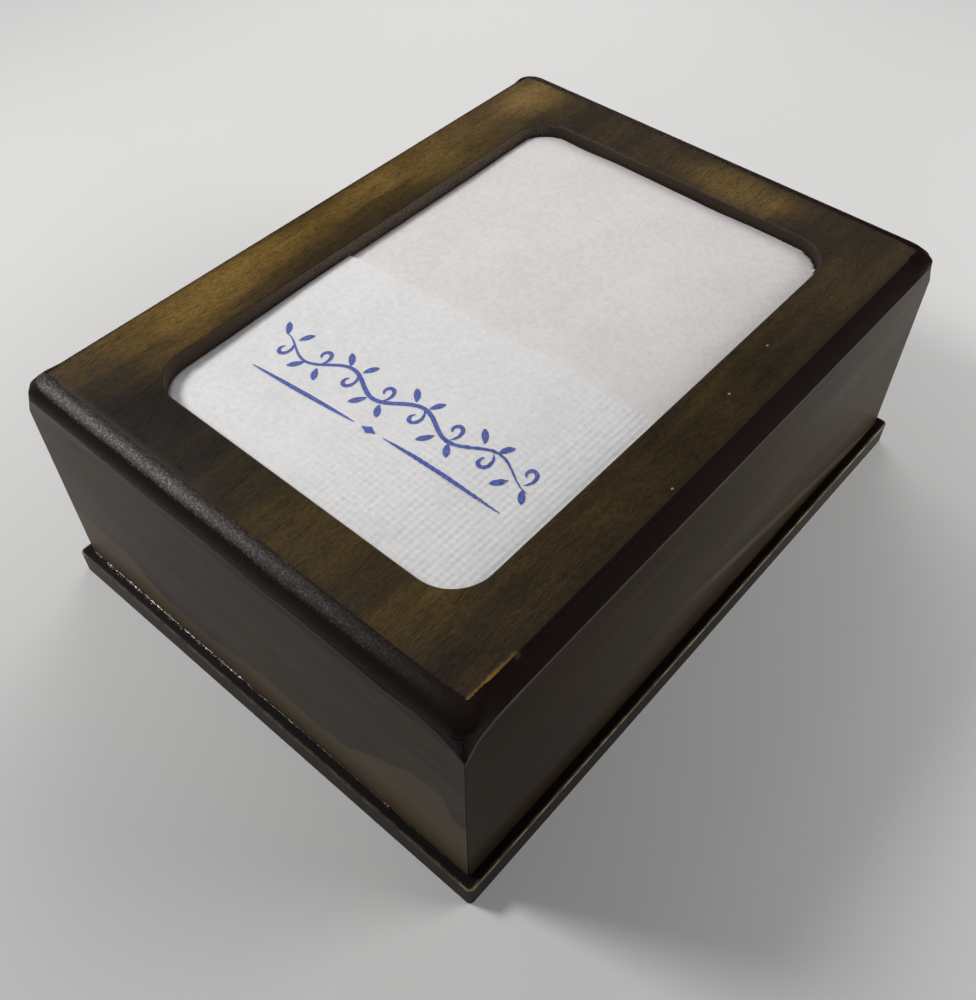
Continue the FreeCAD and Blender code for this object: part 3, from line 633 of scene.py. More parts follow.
CORNER_X, CORNER_Y = 47.0, 64.5  # the top board's rounded corners lie beyond these
CORNER_EDGE = 0.8  # longest edge left in a corner
CORNER_ROUNDS = 4  # how often a corner is cut finer, and how often it is smoothed
ROUND_FROM_Z = 46.0  # the walls' upright corners grow round above this
BAND_DROP = 2.6  # the dark band reaches this far below the top board


def in_corner(vertex):
    """Whether a point of the top board belongs to one of its rounded corners."""
    x, y, z = vertex.co / MM
    return abs(x) > CORNER_X - 0.05 and abs(y) > CORNER_Y - 0.05 and z > TOP_LOW.z - 0.02


def cut_corners_finer(shape):
    """Cut the top board along the corners' bounds, and their faces into small ones."""
    for axis in ((1, 0, 0), (-1, 0, 0), (0, 1, 0), (0, -1, 0)):
        normal = Vector(axis)
        level = normal * (CORNER_X if axis[0] else CORNER_Y) * MM
        geometry = [*shape.verts, *shape.edges, *shape.faces]
        bmesh.ops.bisect_plane(shape, geom=geometry, plane_co=level, plane_no=normal, dist=1e-6)
    for _ in range(CORNER_ROUNDS):
        edges = [
            edge for edge in shape.edges
            if edge.calc_length() > CORNER_EDGE * MM and all(in_corner(end) for end in edge.verts)
        ]
        bmesh.ops.subdivide_edges(shape, edges=edges, cuts=1, use_grid_fill=True)
        bmesh.ops.triangulate(shape, faces=[face for face in shape.faces if len(face.verts) > 4])


def round_corner_point(vertex):
    """Move one point of the top board in, onto a corner that grows rounder with height."""
    x, y, z = vertex.co / MM
    round_in = math.sqrt(max(END_ROUND ** 2 - (z - TOP_HIGH.z + END_ROUND) ** 2, 0.0)) - END_ROUND
    half_y = TOP_HIGH.y + round_in
    flat_x = SIDE_HIGH.x - SIDE_SETBACK * max(z - LOW_ARRIS_Z, 0.0) / SIDE_DROP
    half_x = flat_x + (SIDE_HIGH.x + round_in - flat_x) * smooth_step(65.0, 71.0, abs(y))
    x = math.copysign(CORNER_X + (abs(x) - CORNER_X) * (half_x - CORNER_X) / (flat_x - CORNER_X), x)
    radius = 0.4 + 3.5 * smooth_step(TOP_LOW.z, TOP_LOW.z + 2.6, z)
    past = Vector((abs(x) - half_x + radius, abs(y) - half_y + radius))
    vertex.co.x = x * MM
    if min(past) > 0:
        past *= max(past) / past.length
        vertex.co.x = math.copysign((past.x + half_x - radius) * MM, x)
        vertex.co.y = math.copysign((past.y + half_y - radius) * MM, y)


def is_soft(vertex):
    """Whether a point lies well inside a rounded corner, so that it may be smoothed."""
    x, y, z = vertex.co / MM
    in_height = TOP_LOW.z + 0.3 < z < TOP_HIGH.z - 0.02
    return in_corner(vertex) and in_height and abs(x) > CORNER_X + 1.0 and abs(y) > CORNER_Y + 1.5


def ease_corners(shape):
    """Round the upper corners of the top board, so that three boards meet in one soft corner."""
    cut_corners_finer(shape)
    for vertex in shape.verts:
        if in_corner(vertex) and vertex.co.z >= (TOP_LOW.z + 0.05) * MM:
            round_corner_point(vertex)
    soft = [vertex for vertex in shape.verts if is_soft(vertex)]
    for _ in range(CORNER_ROUNDS):
        bmesh.ops.smooth_vert(
            shape, verts=soft, factor=0.5, use_axis_x=True, use_axis_y=True, use_axis_z=True
        )


def is_free_arris(edge, node, joined_levels, sharp_from=16.0):
    """Whether an edge is one that a hand would ease.

    Edges on a joined level lie against another board, where varnish bridges
    the joint. The case's round corners and the base plate's screw holes, under
    the walls, are left alone too.
    """
    if len(edge.link_faces) != 2 or math.degrees(edge.calc_face_angle(0.0)) <= sharp_from:
        return False
    middle = (edge.verts[0].co + edge.verts[1].co) / 2 / MM
    across, along = abs(middle.x), abs(middle.y)
    in_joint = any(abs(middle.z - level) < 0.15 for level in joined_levels)
    in_round_corner = across > CORNER_X + 0.1 and along > CORNER_Y + 0.07 and middle.z > ROUND_FROM_Z
    under_walls = node == "base_plate" and across < SIDE_HIGH.x - 0.3 and along < -WALL_LOW.y
    return not (in_joint or in_round_corner or under_walls)


def board_copy(node, joined_levels):
    """A board's CAD solid with merged faces and its free arrises marked to be eased."""
    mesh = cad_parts[node].data.copy()
    shape = bmesh.new()
    shape.from_mesh(mesh)
    bmesh.ops.remove_doubles(shape, verts=shape.verts, dist=2e-6)
    if node == "top_board":
        ease_corners(shape)
    bmesh.ops.dissolve_limit(
        shape, angle_limit=math.radians(0.2), verts=shape.verts, edges=shape.edges,
        use_dissolve_boundaries=False,
    )
    weight = shape.edges.layers.float.new("bevel_weight_edge")
    for edge in shape.edges:
        if is_free_arris(edge, node, joined_levels):
            edge[weight] = 1.0
    shape.to_mesh(mesh)
    shape.free()
    return mesh


def is_band(node, polygon):
    """Whether a face belongs to the rounded outer edge, which stain and varnish darkened."""
    centre, normal = polygon.center / MM, polygon.normal
    if node == "top_board":
        outside = abs(centre.y) > TOP_ARRIS_Y - 0.3 or abs(centre.x) > TOP_ARRIS_X - 0.3
        return outside and -0.5 < normal.z < 0.9995
    return centre.z > TOP_LOW.z - BAND_DROP and 0.02 < normal.z < 0.9


def softened_board(node, body, slot, finish, easing, joined_levels, closed_mitre):
    """A board whose arrises are eased and rubbed, in place of its CAD node."""
    mesh = board_copy(node, joined_levels)
    mesh.materials.clear()
    for kind in (finish, "worn", "band"):
        mesh.materials.append(MATERIALS[kind])
    for vertex in mesh.vertices:
        x, y, z = vertex.co / MM
        if closed_mitre and z > ROUND_FROM_Z and abs(x) > CORNER_X + 1.0:
            vertex.co.x += math.copysign(closed_mitre * MM, x)
    if node in ("top_board", "front_wall", "left_wall", "right_wall"):
        for polygon in mesh.polygons:
            if is_band(node, polygon):
                polygon.material_index = 2
    smooth_by_angle(mesh)
    board = placed_object(f"{node}_wood", mesh)
    ease = board.modifiers.new("eased_arrises", "BEVEL")
    ease.limit_method = "WEIGHT"
    ease.width = easing * MM
    ease.segments = 2
    ease.material = 1
    ease.use_clamp_overlap = True
    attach(board, body)
    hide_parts(node)


JOINTS = (BASE_HIGH.z, TOP_LOW.z)  # levels where the boards of the case meet
BOARDS = (  # node, body, slot, finish, easing, levels of its joints, how far its mitre closes
    ("top_board", "case", "dark_varnished_wood", "top", 0.3, JOINTS, 0.0),
    ("front_wall", "case", "dark_varnished_wood", "front", 0.22, JOINTS, 0.16),
    ("left_wall", "case", "dark_varnished_wood", "side", 0.22, JOINTS, 0.0),
    ("right_wall", "case", "dark_varnished_wood", "side", 0.22, JOINTS, 0.0),
    ("base_plate", "case", "varnished_plywood", "base", 0.28, (), 0.0),
    ("drawer_front", "drawer", "dark_varnished_wood", "drawer_front", 0.4, (), 0.0),
    ("drawer_side_left", "drawer", "plain_pine", "pine", 0.3, (), 0.0),
    ("drawer_side_right", "drawer", "plain_pine", "pine", 0.3, (), 0.0),
    ("drawer_inner_end", "drawer", "plain_pine", "pine_across", 0.3, (), 0.0),
    ("drawer_bottom", "drawer", "birch_plywood", "birch", 0.2, (), 0.0),
    ("lifter_plate", "lifter", "birch_plywood", "birch", 0.2, (), 0.0),
)
for board in BOARDS:
    softened_board(*board)


# ---------------------------------------------------------------- springs

def close_rings(shape, rings):
    """Skin rings of points one after another, and close both ends."""
    for first, second in zip(rings, rings[1:]):
        for index in range(len(first)):
            after = (index + 1) % len(first)
            shape.faces.new((first[index], first[after], second[after], second[index]))
    shape.faces.new(rings[0])
    shape.faces.new(rings[-1])
    bmesh.ops.recalc_face_normals(shape, faces=shape.faces)


SPRING_RADIUS, SPRING_WIRE, SPRING_TURNS = 13.0, 1.3, 4.5


def coil_mesh(name, centre, low, high):
    """A coil spring whose end turns lie flat, as a closed tube."""
    steps_per_turn, sides = 56, 12
    steps = int(SPRING_TURNS * steps_per_turn)
    flat = 0.9 / SPRING_TURNS  # share of the length that an end turn takes
    shape = bmesh.new()
    rings = []
    for step in range(steps + 1):
        share = step / steps
        angle = math.tau * SPRING_TURNS * share
        eased = min(max((share - flat * 0.5) / (1 - flat), 0.0), 1.0)
        rise = (high - low - SPRING_WIRE) * (0.12 * share + 0.88 * eased)
        out = Vector((math.cos(angle), math.sin(angle), 0))
        middle = Vector((*centre, low + SPRING_WIRE / 2 + rise)) + out * SPRING_RADIUS
        ring = []
        for side in range(sides):
            turn = math.tau * side / sides
            round_wire = out * math.cos(turn) + Vector((0, 0, math.sin(turn)))
            ring.append(shape.verts.new((middle + round_wire * (SPRING_WIRE / 2)) * MM))
        rings.append(ring)
    close_rings(shape, rings)
    return finished_mesh(name, shape, 50.0)


for place in ("front", "rear"):
    low, high = node_box(f"lifter_spring_{place}")
    seat_low, seat_high = node_box(f"lower_seat_{place}")
    middle = ((seat_low + seat_high) / 2).to_2d()
    name = f"coil_spring_{place}"
    mesh = coil_mesh(name, middle, low.z, high.z)
    coil = new_piece(name, mesh, "spring", "spring_steel", "drawer", f"lifter_spring_{place}")
    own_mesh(coil)


# ---------------------------------------------------------------- loose leaves

WINDOW_CORNER = 8.5  # radius
DOT_PITCH = 1.9  # embossed dots, along the diagonals


def uneven(x, y, scale_x, scale_y, seed):
    """Noise around 0 at a place on the leaves, from its scales per mm."""
    return noise.noise(Vector((x * scale_x, y * scale_y, seed)))


def inside_window(x, y):
    """Distance in from the window's rounded outline, in mm: below 0 under the board."""
    middle_x, middle_y = sum(WINDOW_X) / 2, sum(WINDOW_Y) / 2
    past_x = abs(x - middle_x) - ((WINDOW_X[1] - WINDOW_X[0]) / 2 - WINDOW_CORNER)
    past_y = abs(y - middle_y) - ((WINDOW_Y[1] - WINDOW_Y[0]) / 2 - WINDOW_CORNER)
    return WINDOW_CORNER - math.hypot(max(past_x, 0.0), max(past_y, 0.0)) - min(max(past_x, past_y), 0.0)


def swell_height(x, y):
    """How far the springs press the leaves up into the window, and how much of it is free."""
    inside = inside_window(x, y)
    free = smooth_step(-0.25, 0.5, inside) * 0.85 + smooth_step(0.0, 6.0, inside) * 0.15
    from_corner = 0.35 + 0.65 * smooth_step(4.0, 48.0, math.hypot(x - WINDOW_X[0], y - WINDOW_Y[0]))
    right_slack = 1 - 0.85 * smooth_step(12.0, 36.0, x) * (1 - smooth_step(30.0, 54.0, y))
    return free * (0.1 + 2.0 * from_corner + 0.5 * smooth_step(28.0, 54.0, y)) * right_slack, free


def embossing(x, y):
    """Rows of dots, deepest towards the right and around the near right corner."""
    row = DOT_PITCH * 1.414
    dots = math.cos(math.tau * (x + y) / row) * math.cos(math.tau * (x - y) / row)
    deep = max(smooth_step(18.0, 34.0, x), smooth_step(40.0, 18.0, math.hypot(x - 30.0, y + 52.0)))
    return dots * (0.012 + 0.13 * deep * (0.5 + 1.2 * abs(uneven(x, y, 0.33, 0.3, 11.0) + 0.35)))


def leaf_height(x, y):
    """Relief of a tissue leaf in mm: its swell, waves, crinkles, crepe and embossing."""
    swell, free = swell_height(x, y)
    wave = uneven(x, y, 0.035, 0.028, 3.0) * 0.12 * free
    crinkle = uneven(x, y, 0.16, 0.13, 8.0) * 0.03
    crepe = uneven(x, y, 0.9, 1.6, 2.0) * 0.03 + uneven(x, y, 0.4, 0.45, 6.0) * 0.05
    return swell + wave + crinkle + crepe + embossing(x, y)


def leaf_mesh(name, corners, level, thickness, pitch, lift=0.0):
    """A laid tissue leaf between four corners: a grid with relief, closed underneath."""
    near_left, near_right, far_left, far_right = (Vector(corner) for corner in corners)
    columns = int((near_right - near_left).length / pitch)
    rows = int((far_left - near_left).length / pitch)
    lifted = 5.0  # width of the far edge that stands up a little
    shape = bmesh.new()
    top, under = [], []
    for sheet, side in ((top, 0.5), (under, -0.5)):
        for row in range(rows + 1):
            line = []
            v = row / rows
            for column in range(columns + 1):
                u = column / columns
                x, y = near_left.lerp(near_right, u).lerp(far_left.lerp(far_right, u), v)
                z = level + leaf_height(x, y) + side * thickness
                far = max(0.0, 1 - (1 - v) * rows * pitch / lifted)
                z += lift * far * far * (0.5 + noise.noise(Vector((x * 0.07, 5.0, 1.0))))
                line.append(shape.verts.new((x * MM, y * MM, z * MM)))
            sheet.append(line)
    for row in range(rows):
        for column in range(columns):
            square = ((row, column), (row, column + 1), (row + 1, column + 1), (row + 1, column))
            shape.faces.new([top[r][c] for r, c in square])
            shape.faces.new([under[r][c] for r, c in reversed(square)])
    rim = [(0, c) for c in range(columns)] + [(r, columns) for r in range(rows)]
    rim += [(rows, c) for c in range(columns, 0, -1)] + [(r, 0) for r in range(rows, 0, -1)]
    for (r, c), (r2, c2) in zip(rim, rim[1:] + rim[:1]):
        shape.faces.new((under[r][c], under[r2][c2], top[r2][c2], top[r][c]))
    return finished_mesh(name, shape, 50.0)


def leaf(name, corners, level, thickness, pitch, finish, lift, *replaced):
    """A leaf as a piece of the lifter's pile."""
    mesh = leaf_mesh(name, corners, level, thickness, pitch, lift)
    return new_piece(name, mesh, finish, "white_tissue", "lifter", *replaced)


# the leaves lie a little askew: near left, near right, far left and far right corner
UNDER_LEAF = ((-42.3, -60.9), (40.4, -60.9), (-42.3, 59.2), (40.3, 57.6))
REAR_LEAF = ((-42.4, -60.8), (40.0, -60.8), (-42.4, 58.8), (40.2, 57.4))
FRONT_LEAF = ((-42.2, -61.0), (39.4, -61.0), (-42.2, -6.5), (39.0, -2.4))
FRONT_LEVEL, FRONT_THICKNESS = 55.0, 0.22
under_leaf = leaf("under_leaf", UNDER_LEAF, 54.2, 0.2, 0.9, "rear_tissue", 0.0)
rear_leaf = leaf("rear_leaf", REAR_LEAF, 54.55, 0.24, 0.62, "rear_tissue", 0.0, "rear_napkin")
front_leaf = leaf(
    "front_leaf", FRONT_LEAF, FRONT_LEVEL, FRONT_THICKNESS, 0.42, "front_tissue", 0.1, "front_napkin"
)


# ---------------------------------------------------------------- pile of folded napkins

def geometry_tree(name, sockets):
    """A geometry tree with named inputs: (name, kind, default)."""
    tree = bpy.data.node_groups.new(name, "GeometryNodeTree")
    tree.interface.new_socket("Geometry", in_out="OUTPUT", socket_type="NodeSocketGeometry")
    for label, kind, default in sockets:
        socket = tree.interface.new_socket(label, in_out="INPUT", socket_type=kind)
        if default is not None:
            socket.default_value = default
    return tree, add(tree, "NodeGroupInput").outputs


def hand_out(tree, placed, finish):
    """End a geometry tree: its placed copies made real and given their material."""
    real = add(tree, "GeometryNodeRealizeInstances", {"Geometry": placed})
    dressed = add(tree, "GeometryNodeSetMaterial", {"Geometry": real, "Material": finish})
    add(tree, "NodeGroupOutput", {0: dressed})


def grown(name, tree, values):
    """Run a geometry tree once and keep its result as a plain mesh."""
    holder = placed_object(f"{name}_source", bpy.data.meshes.new(f"{name}_source"))
    modifier = holder.modifiers.new("grow", "NODES")
    modifier.node_group = tree
    for item in tree.interface.items_tree:
        if item.item_type == "SOCKET" and item.in_out == "INPUT" and item.name in values:
            modifier[item.identifier] = values[item.name]
    evaluated = holder.evaluated_get(bpy.context.evaluated_depsgraph_get())
    mesh = bpy.data.meshes.new_from_object(evaluated)
    mesh.name = name
    bpy.data.objects.remove(holder)
    return mesh


def folded_napkin_mesh(width, length, thickness):
    """One napkin folded once: two layers joined by a round fold at -X."""
    layer = thickness * 0.42  # the rest is air between the two
    outer = thickness / 2
    inner = outer - layer
    right, left = width / 2, -width / 2 + outer
    section = [(right, -outer), (right, -inner)]
    section += [(left - inner * math.cos(t), inner * math.sin(t)) for t in (-1.4, -0.7, 0.0, 0.7, 1.4)]
    section += [(right, inner), (right, outer)]
    section += [
        (left - outer * math.cos(t), outer * math.sin(t)) for t in (1.5, 1.0, 0.5, 0.0, -0.5, -1.0, -1.5)
    ]
    shape = bmesh.new()
    close_rings(shape, [
        [shape.verts.new((x * MM, y * MM, z * MM)) for x, z in section] for y in (-length / 2, length / 2)
    ])
    return finished_mesh("folded_napkin", shape)


def pile_tree():
    """Folded napkins one on another, each a little out of line."""
    tree, inputs = geometry_tree("pile_of_napkins", [
        ("Napkin", "NodeSocketObject", None), ("Count", "NodeSocketInt", 26),
        ("Foot", "NodeSocketVector", (0, 0, 0)), ("Step", "NodeSocketVector", (0, 0, 0.001)),
        ("Stray", "NodeSocketVector", (0.0003, 0.0003, 0.0)), ("Seed", "NodeSocketInt", 3),
        ("Tissue", "NodeSocketMaterial", None),
    ])
    line = add(tree, "GeometryNodeMeshLine", {
        "Count": inputs["Count"], "Start Location": inputs["Foot"], "Offset": inputs["Step"],
    }, mode="OFFSET")
    less = add(tree, "ShaderNodeVectorMath", (inputs["Stray"], (-1.0, -1.0, -1.0)), operation="MULTIPLY")
    stray = add(tree, "FunctionNodeRandomValue", {
        0: less, 1: inputs["Stray"], "Seed": inputs["Seed"],
    }, data_type="FLOAT_VECTOR")
    moved = add(tree, "GeometryNodeSetPosition", {"Geometry": line, "Offset": stray.outputs[0]})
    napkin = add(tree, "GeometryNodeObjectInfo", {"Object": inputs["Napkin"]})
    placed = add(tree, "GeometryNodeInstanceOnPoints", {
        "Points": moved, "Instance": napkin.outputs["Geometry"],
    })
    hand_out(tree, placed, inputs["Tissue"])
    return tree


NAPKIN_COUNT = 27
NAPKIN_SHARE = 0.97  # of its step in the pile, so that two napkins don't touch
PILE_MARGIN = 0.8  # the napkins are smaller than the pile's box, which leaves room to stray
napkin_step = (PILE_HIGH.z - PILE_LOW.z) / NAPKIN_COUNT
one_napkin = placed_object("one_napkin", folded_napkin_mesh(
    PILE_HIGH.x - PILE_LOW.x - PILE_MARGIN, PILE_HIGH.y - PILE_LOW.y - PILE_MARGIN,
    napkin_step * NAPKIN_SHARE,
))
pile = grown("folded_napkin_pile", pile_tree(), {
    "Napkin": one_napkin, "Count": NAPKIN_COUNT,
    "Foot": Vector((0.0, (PILE_LOW.y + PILE_HIGH.y) / 2, PILE_LOW.z + napkin_step / 2)) * MM,
    "Step": Vector((0, 0, napkin_step)) * MM, "Stray": Vector((0.35, 0.35, 0.0)) * MM,
    "Tissue": MATERIALS["pile_tissue"],
})
bpy.data.objects.remove(one_napkin)
smooth_by_angle(pile, 40.0)
new_piece("folded_napkin_pile", pile, None, "white_tissue", "lifter", "napkin_stack")


# ---------------------------------------------------------------- printed ornament

PRINT_MIDDLE, PRINT_TURN = Vector((1.0, -31.4)), math.radians(3.4)
PRINT_ABOVE = 0.06  # the ink lies this far over the leaf
HALF_VINE, VINE_WAVES, VINE_SWING = 31.0, 3.5, 1.9
SHOOTS = 8
UNDERLINE_Y = -8.4


def ink_level(x, y):
    """Height of the ink at a place on the front leaf, in mm."""
    return FRONT_LEVEL + FRONT_THICKNESS / 2 + leaf_height(x, y) + PRINT_ABOVE


def tapered(points, widest):
    """Widths that swell in the middle and end in fine points."""
    last = len(points) - 1
    return [0.12 + widest * math.sin(math.pi * index / last) ** 0.7 for index in range(len(points))]


def stroke(shape, points, widths):
    """A flat inked stroke that follows the leaf, from middle points and widths in mm."""
    cosine, sine = math.cos(PRINT_TURN), math.sin(PRINT_TURN)
    points = [PRINT_MIDDLE + Vector((x * cosine - y * sine, x * sine + y * cosine)) for x, y in points]
    rows = []
    for index, point in enumerate(points):
        along = (points[min(index + 1, len(points) - 1)] - points[max(index - 1, 0)]).normalized()
        across = Vector((-along.y, along.x)) * widths[index] / 2
        row = []
        for share in (-1.0, -0.33, 0.33, 1.0):
            x, y = point + across * share
            row.append(shape.verts.new((x * MM, y * MM, ink_level(x, y) * MM)))
        rows.append(row)
    for first, second in zip(rows, rows[1:]):
        for left in range(3):
            shape.faces.new((first[left], first[left + 1], second[left + 1], second[left]))


def vine_height(x):
    """How far the vine swings from its middle line, in mm."""
    return VINE_SWING * math.sin(x / HALF_VINE * math.pi * VINE_WAVES)


def shoot(index):
    """One curled shoot and its two leaves: lines of points, each with its widest."""
    x = (index - 3.5) * HALF_VINE * 2 / (SHOOTS - 1) * 0.92
    side = 1 if index % 2 else -1
    root = vine_height(x)
    curl = []
    for step in range(34):
        share = step / 33
        angle = side * (0.4 + share * 5.0)
        reach = 2.5 * (1 - share * 0.72)
        curl.append((
            x + 2.4 * share * 0.3 + math.sin(angle * side) * reach * 0.8,
            root + side * (2.6 - math.cos(angle) * reach),
        ))
    lines = [(curl, 0.75)]
    for lean in (-0.9, 0.7):
        shares = [step / 9 for step in range(10)]
        lines.append(([
            (x + lean * (2.0 + 2.4 * share), root - side * (0.4 + 2.9 * share ** 0.8)) for share in shares
        ], 1.25))
    return lines


def ornament_mesh():
    """A vine with curled shoots and leaves over two tapered lines and a lozenge."""
    shape = bmesh.new()
    vine = [-HALF_VINE + 2 * HALF_VINE * step / 150 for step in range(151)]
    lines = [([(x, vine_height(x)) for x in vine], 0.85)]
    for index in range(SHOOTS):
        lines += shoot(index)
    for steps, side in ((range(60, -1, -1), -1), (range(61), 1)):
        lines.append(([(side * (3.4 + 26.5 * step / 60), UNDERLINE_Y) for step in steps], 0.85))
    for points, widest in lines:
        stroke(shape, points, tapered(points, widest))
    lozenge = [(-1.7 + 3.4 * step / 12, UNDERLINE_Y) for step in range(13)]
    stroke(shape, lozenge, [0.1 + 1.7 * (1 - abs(step - 6) / 6) for step in range(13)])
    return finished_mesh("printed_vine", shape)


new_piece("printed_vine", ornament_mesh(), "ink", "white_tissue", "lifter")


# ---------------------------------------------------------------- varnish run and crumbs

def bead_radius(x):
    """How thick the run is along the foot of the short wall, in mm."""
    thick = smooth_step(-53.5, -50.0, x) * smooth_step(0.0, -7.0, x)
    lumps = noise.noise(Vector((x * 0.9, 2.0, 4.0))) * 0.5 + noise.noise(Vector((x * 2.3, 7.0, 1.0))) * 0.35
    drop = math.exp(-((x - 36.2) / 0.7) ** 2)
    return max(0.2, 0.26 + thick * (0.36 + 0.4 * lumps) + 0.1 * lumps + 0.5 * drop)


def bead_mesh():
    """The run as a lumpy quarter round between wall and base plate."""
    half, steps, arc = 55.6, 330, 7
    sunk = 0.05  # its flat sides lie this deep in wall and base plate
    foot, wall = BASE_HIGH.z - sunk, WALL_LOW.y + sunk
    shape = bmesh.new()
    rings = []
    for step in range(steps + 1):
        x = -half + 2 * half * step / steps
        size = bead_radius(x)
        ring = [shape.verts.new((x * MM, wall * MM, foot * MM))]
        for turn in range(arc + 1):
            angle = math.pi / 2 * turn / arc
            out = size * (1 + 0.22 * noise.noise(Vector((x * 2.0, turn * 0.9, 5.0))))
            y, z = wall - out * math.cos(angle), foot + out * math.sin(angle)
            ring.append(shape.verts.new((x * MM, y * MM, z * MM)))
        rings.append(ring)
    close_rings(shape, rings)
    return finished_mesh("run_bead", shape, 60.0)


def crumb_mesh(size, seed):
    """One angular crumb of dry glue, of a size in mm."""
    shape = bmesh.new()
    bmesh.ops.create_icosphere(shape, subdivisions=2, radius=size * MM)
    for vertex in shape.verts:
        vertex.co *= 1 + 0.55 * noise.noise(vertex.co / MM / size * 1.3 + Vector((seed, seed * 2, 0)))
    return finished_mesh("one_crumb", shape)


def scatter_tree():
    """Crumbs scattered over a surface between two places, each turned and scaled at random."""
    tree, inputs = geometry_tree("scattered_crumbs", [
        ("Ground", "NodeSocketObject", None), ("Crumb", "NodeSocketObject", None),
        ("Density", "NodeSocketFloat", 1e6), ("Seed", "NodeSocketInt", 5),
        ("From X", "NodeSocketFloat", -0.05), ("To X", "NodeSocketFloat", 0.0),
        ("Finish", "NodeSocketMaterial", None),
    ])
    ground = add(tree, "GeometryNodeObjectInfo", {"Object": inputs["Ground"]})
    crumb = add(tree, "GeometryNodeObjectInfo", {"Object": inputs["Crumb"]})
    position = add(tree, "GeometryNodeInputPosition")
    x = add(tree, "ShaderNodeSeparateXYZ", (position,)).outputs["X"]
    past = add(tree, "ShaderNodeMath", (x, inputs["From X"]), operation="GREATER_THAN")
    short = add(tree, "ShaderNodeMath", (x, inputs["To X"]), operation="LESS_THAN")
    points = add(tree, "GeometryNodeDistributePointsOnFaces", {
        "Mesh": ground.outputs["Geometry"], "Selection": overlap(tree, past, short),
        "Density": inputs["Density"], "Seed": inputs["Seed"],
    })
    turn = add(tree, "FunctionNodeRandomValue", {1: (6.28, 6.28, 6.28)}, data_type="FLOAT_VECTOR")
    scale = add(tree, "FunctionNodeRandomValue", {2: 0.35, 3: 1.0}, data_type="FLOAT")
    placed = add(tree, "GeometryNodeInstanceOnPoints", {
        "Points": points.outputs["Points"], "Instance": crumb.outputs["Geometry"],
        "Rotation": turn.outputs[0], "Scale": scale.outputs[1],
    })
    hand_out(tree, placed, inputs["Finish"])
    return tree


bead = new_piece("run_bead", bead_mesh(), "bead", "dark_varnished_wood", "case")
one_crumb = placed_object("one_crumb", crumb_mesh(0.16, 3.0))
crumbs = grown("glue_crumbs", scatter_tree(), {
    "Ground": bead, "Crumb": one_crumb, "Density": 0.8e6, "From X": -0.053, "To X": -0.006,
    "Finish": MATERIALS["crumb"],
})
bpy.data.objects.remove(one_crumb)
new_piece("glue_crumbs", crumbs, None, "dark_varnished_wood", "case")


# ---------------------------------------------------------------- camera, light, floor

def looking(place, aim):
    """The turn and place of a camera or lamp that looks from one point at another."""
    return Matrix.Translation(place) @ (aim - place).to_track_quat("-Z", "Y").to_matrix().to_4x4()


def scene_camera():
    """The camera, its place and aim in millimetres, rolled a little."""
    place, aim, roll = Vector((108.46, -128.82, 202.17)), Vector((13.74, -20.98, 30.0)), -0.2345
    lens = bpy.data.cameras.new("camera")
    lens.lens = 39.6
    lens.sensor_width = 36.0
    lens.sensor_fit = "AUTO"
    lens.clip_start = 0.005
    lens.clip_end = 20.0
    camera = placed_object("camera", lens)
    camera.matrix_world = looking(place * MM, aim * MM) @ Matrix.Rotation(math.radians(roll), 4, "Z")
    bpy.context.scene.camera = camera


def area_light(name, place, size, power):
    """A soft round lamp that looks at the middle of the foot: metres and watts."""
    lamp = bpy.data.lights.new(name, "AREA")
    lamp.shape = "DISK"
    lamp.size = size
    lamp.energy = power
    holder = placed_object(name, lamp)
    holder.matrix_world = looking(Vector(place), Vector())
    return holder


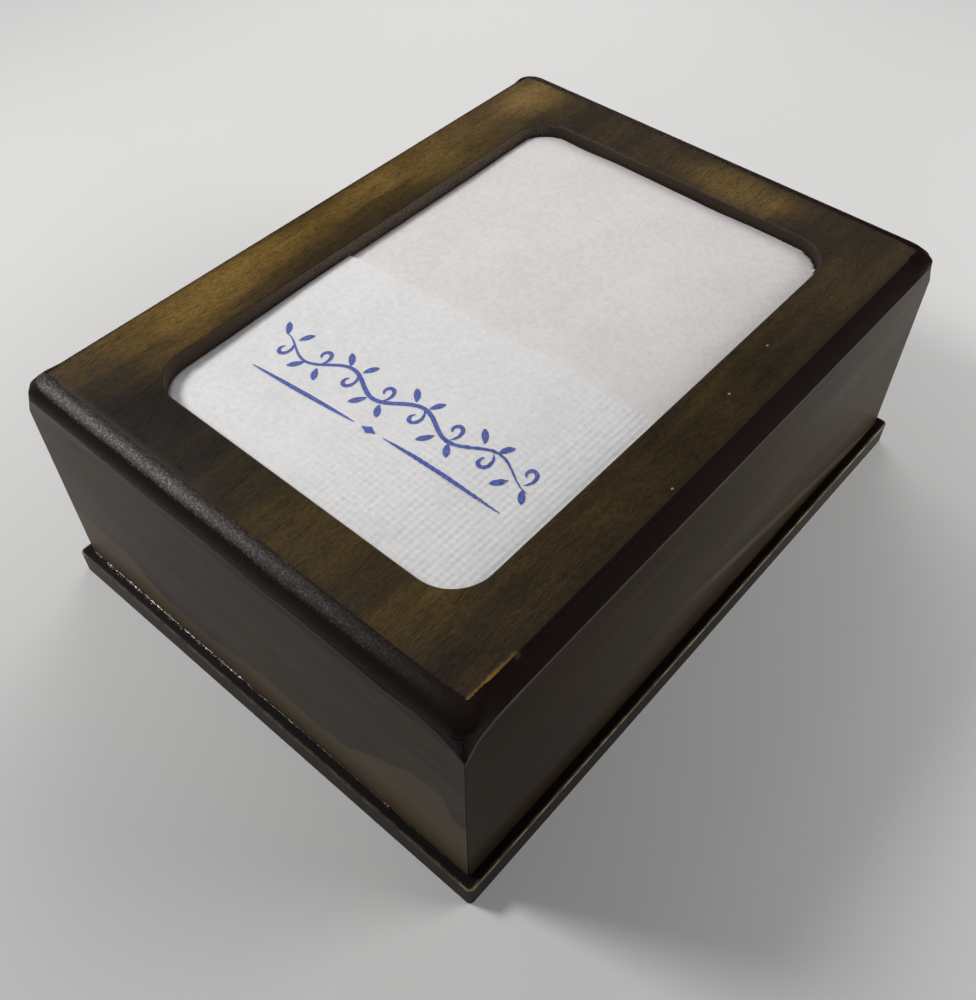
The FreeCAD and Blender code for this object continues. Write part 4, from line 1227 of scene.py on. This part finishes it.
def room_light():
    """A dim room: plain and pale where the camera sees it, dark low down in reflections."""
    world = bpy.data.worlds.new("room")
    bpy.context.scene.world = world
    world.use_nodes = True
    tree = world.node_tree
    tree.nodes.clear()
    direction = add(tree, "ShaderNodeTexCoord").outputs["Generated"]
    height = add(tree, "ShaderNodeSeparateXYZ", (direction,)).outputs["Z"]
    glow = graded(tree, height, 0.3, 0.95, 0.0, 0.18)
    room = add(tree, "ShaderNodeBackground", ("f2f4ff", glow))
    plain = add(tree, "ShaderNodeBackground", ("d4d4d4", 1.0))
    path = add(tree, "ShaderNodeLightPath").outputs
    rays = (path["Is Camera Ray"], path["Is Transmission Ray"])
    seen = add(tree, "ShaderNodeMath", rays, operation="MAXIMUM")
    mixed = add(tree, "ShaderNodeMixShader", (seen, room, plain))
    add(tree, "ShaderNodeOutputWorld", {"Surface": mixed})


def pale_floor():
    """A round pale table top that fades into the plain background: sizes in metres."""
    reach, sides = 0.75, 96
    shape = bmesh.new()
    bmesh.ops.create_circle(shape, cap_ends=True, radius=reach, segments=sides)
    floor = placed_object("floor", finished_mesh("floor", shape))
    made = bpy.data.materials.new("pale_table_top")
    made.use_nodes = True
    tree = made.node_tree
    tree.nodes.clear()
    place = add(tree, "ShaderNodeTexCoord").outputs["Object"]
    far = add(tree, "ShaderNodeVectorMath", (place,), operation="LENGTH")
    surface = add(tree, "ShaderNodeBsdfDiffuse", ("dcdbd9",))
    plain = add(tree, "ShaderNodeEmission", ("d6d6d6", 1.0))
    clear = add(tree, "ShaderNodeBsdfTransparent")
    seen = add(tree, "ShaderNodeLightPath").outputs["Is Camera Ray"]
    beyond = add(tree, "ShaderNodeMixShader", (seen, clear, plain))
    fade_seen = graded(tree, far, 0.26, 0.46)
    fade_mirrored = graded(tree, far, 0.24, 0.34)
    fade = add(tree, "ShaderNodeMix", (seen, fade_mirrored, fade_seen))
    mixed = add(tree, "ShaderNodeMixShader", (fade, surface, beyond))
    add(tree, "ShaderNodeOutputMaterial", {"Surface": mixed})
    floor.data.materials.append(made)


scene_camera()
room_light()
pale_floor()
area_light("window_light", (-0.267, -0.190, 0.345), 0.124, 1.25)
for name, place, size, power in (
    ("wall_fill", (-0.211, 0.254, 0.236), 0.36, 0.55),
    ("room_fill", (0.321, 0.291, 0.186), 0.382, 1.45),
):
    area_light(name, place, size, power).visible_glossy = False

bpy.context.scene.view_settings.view_transform = "Standard"
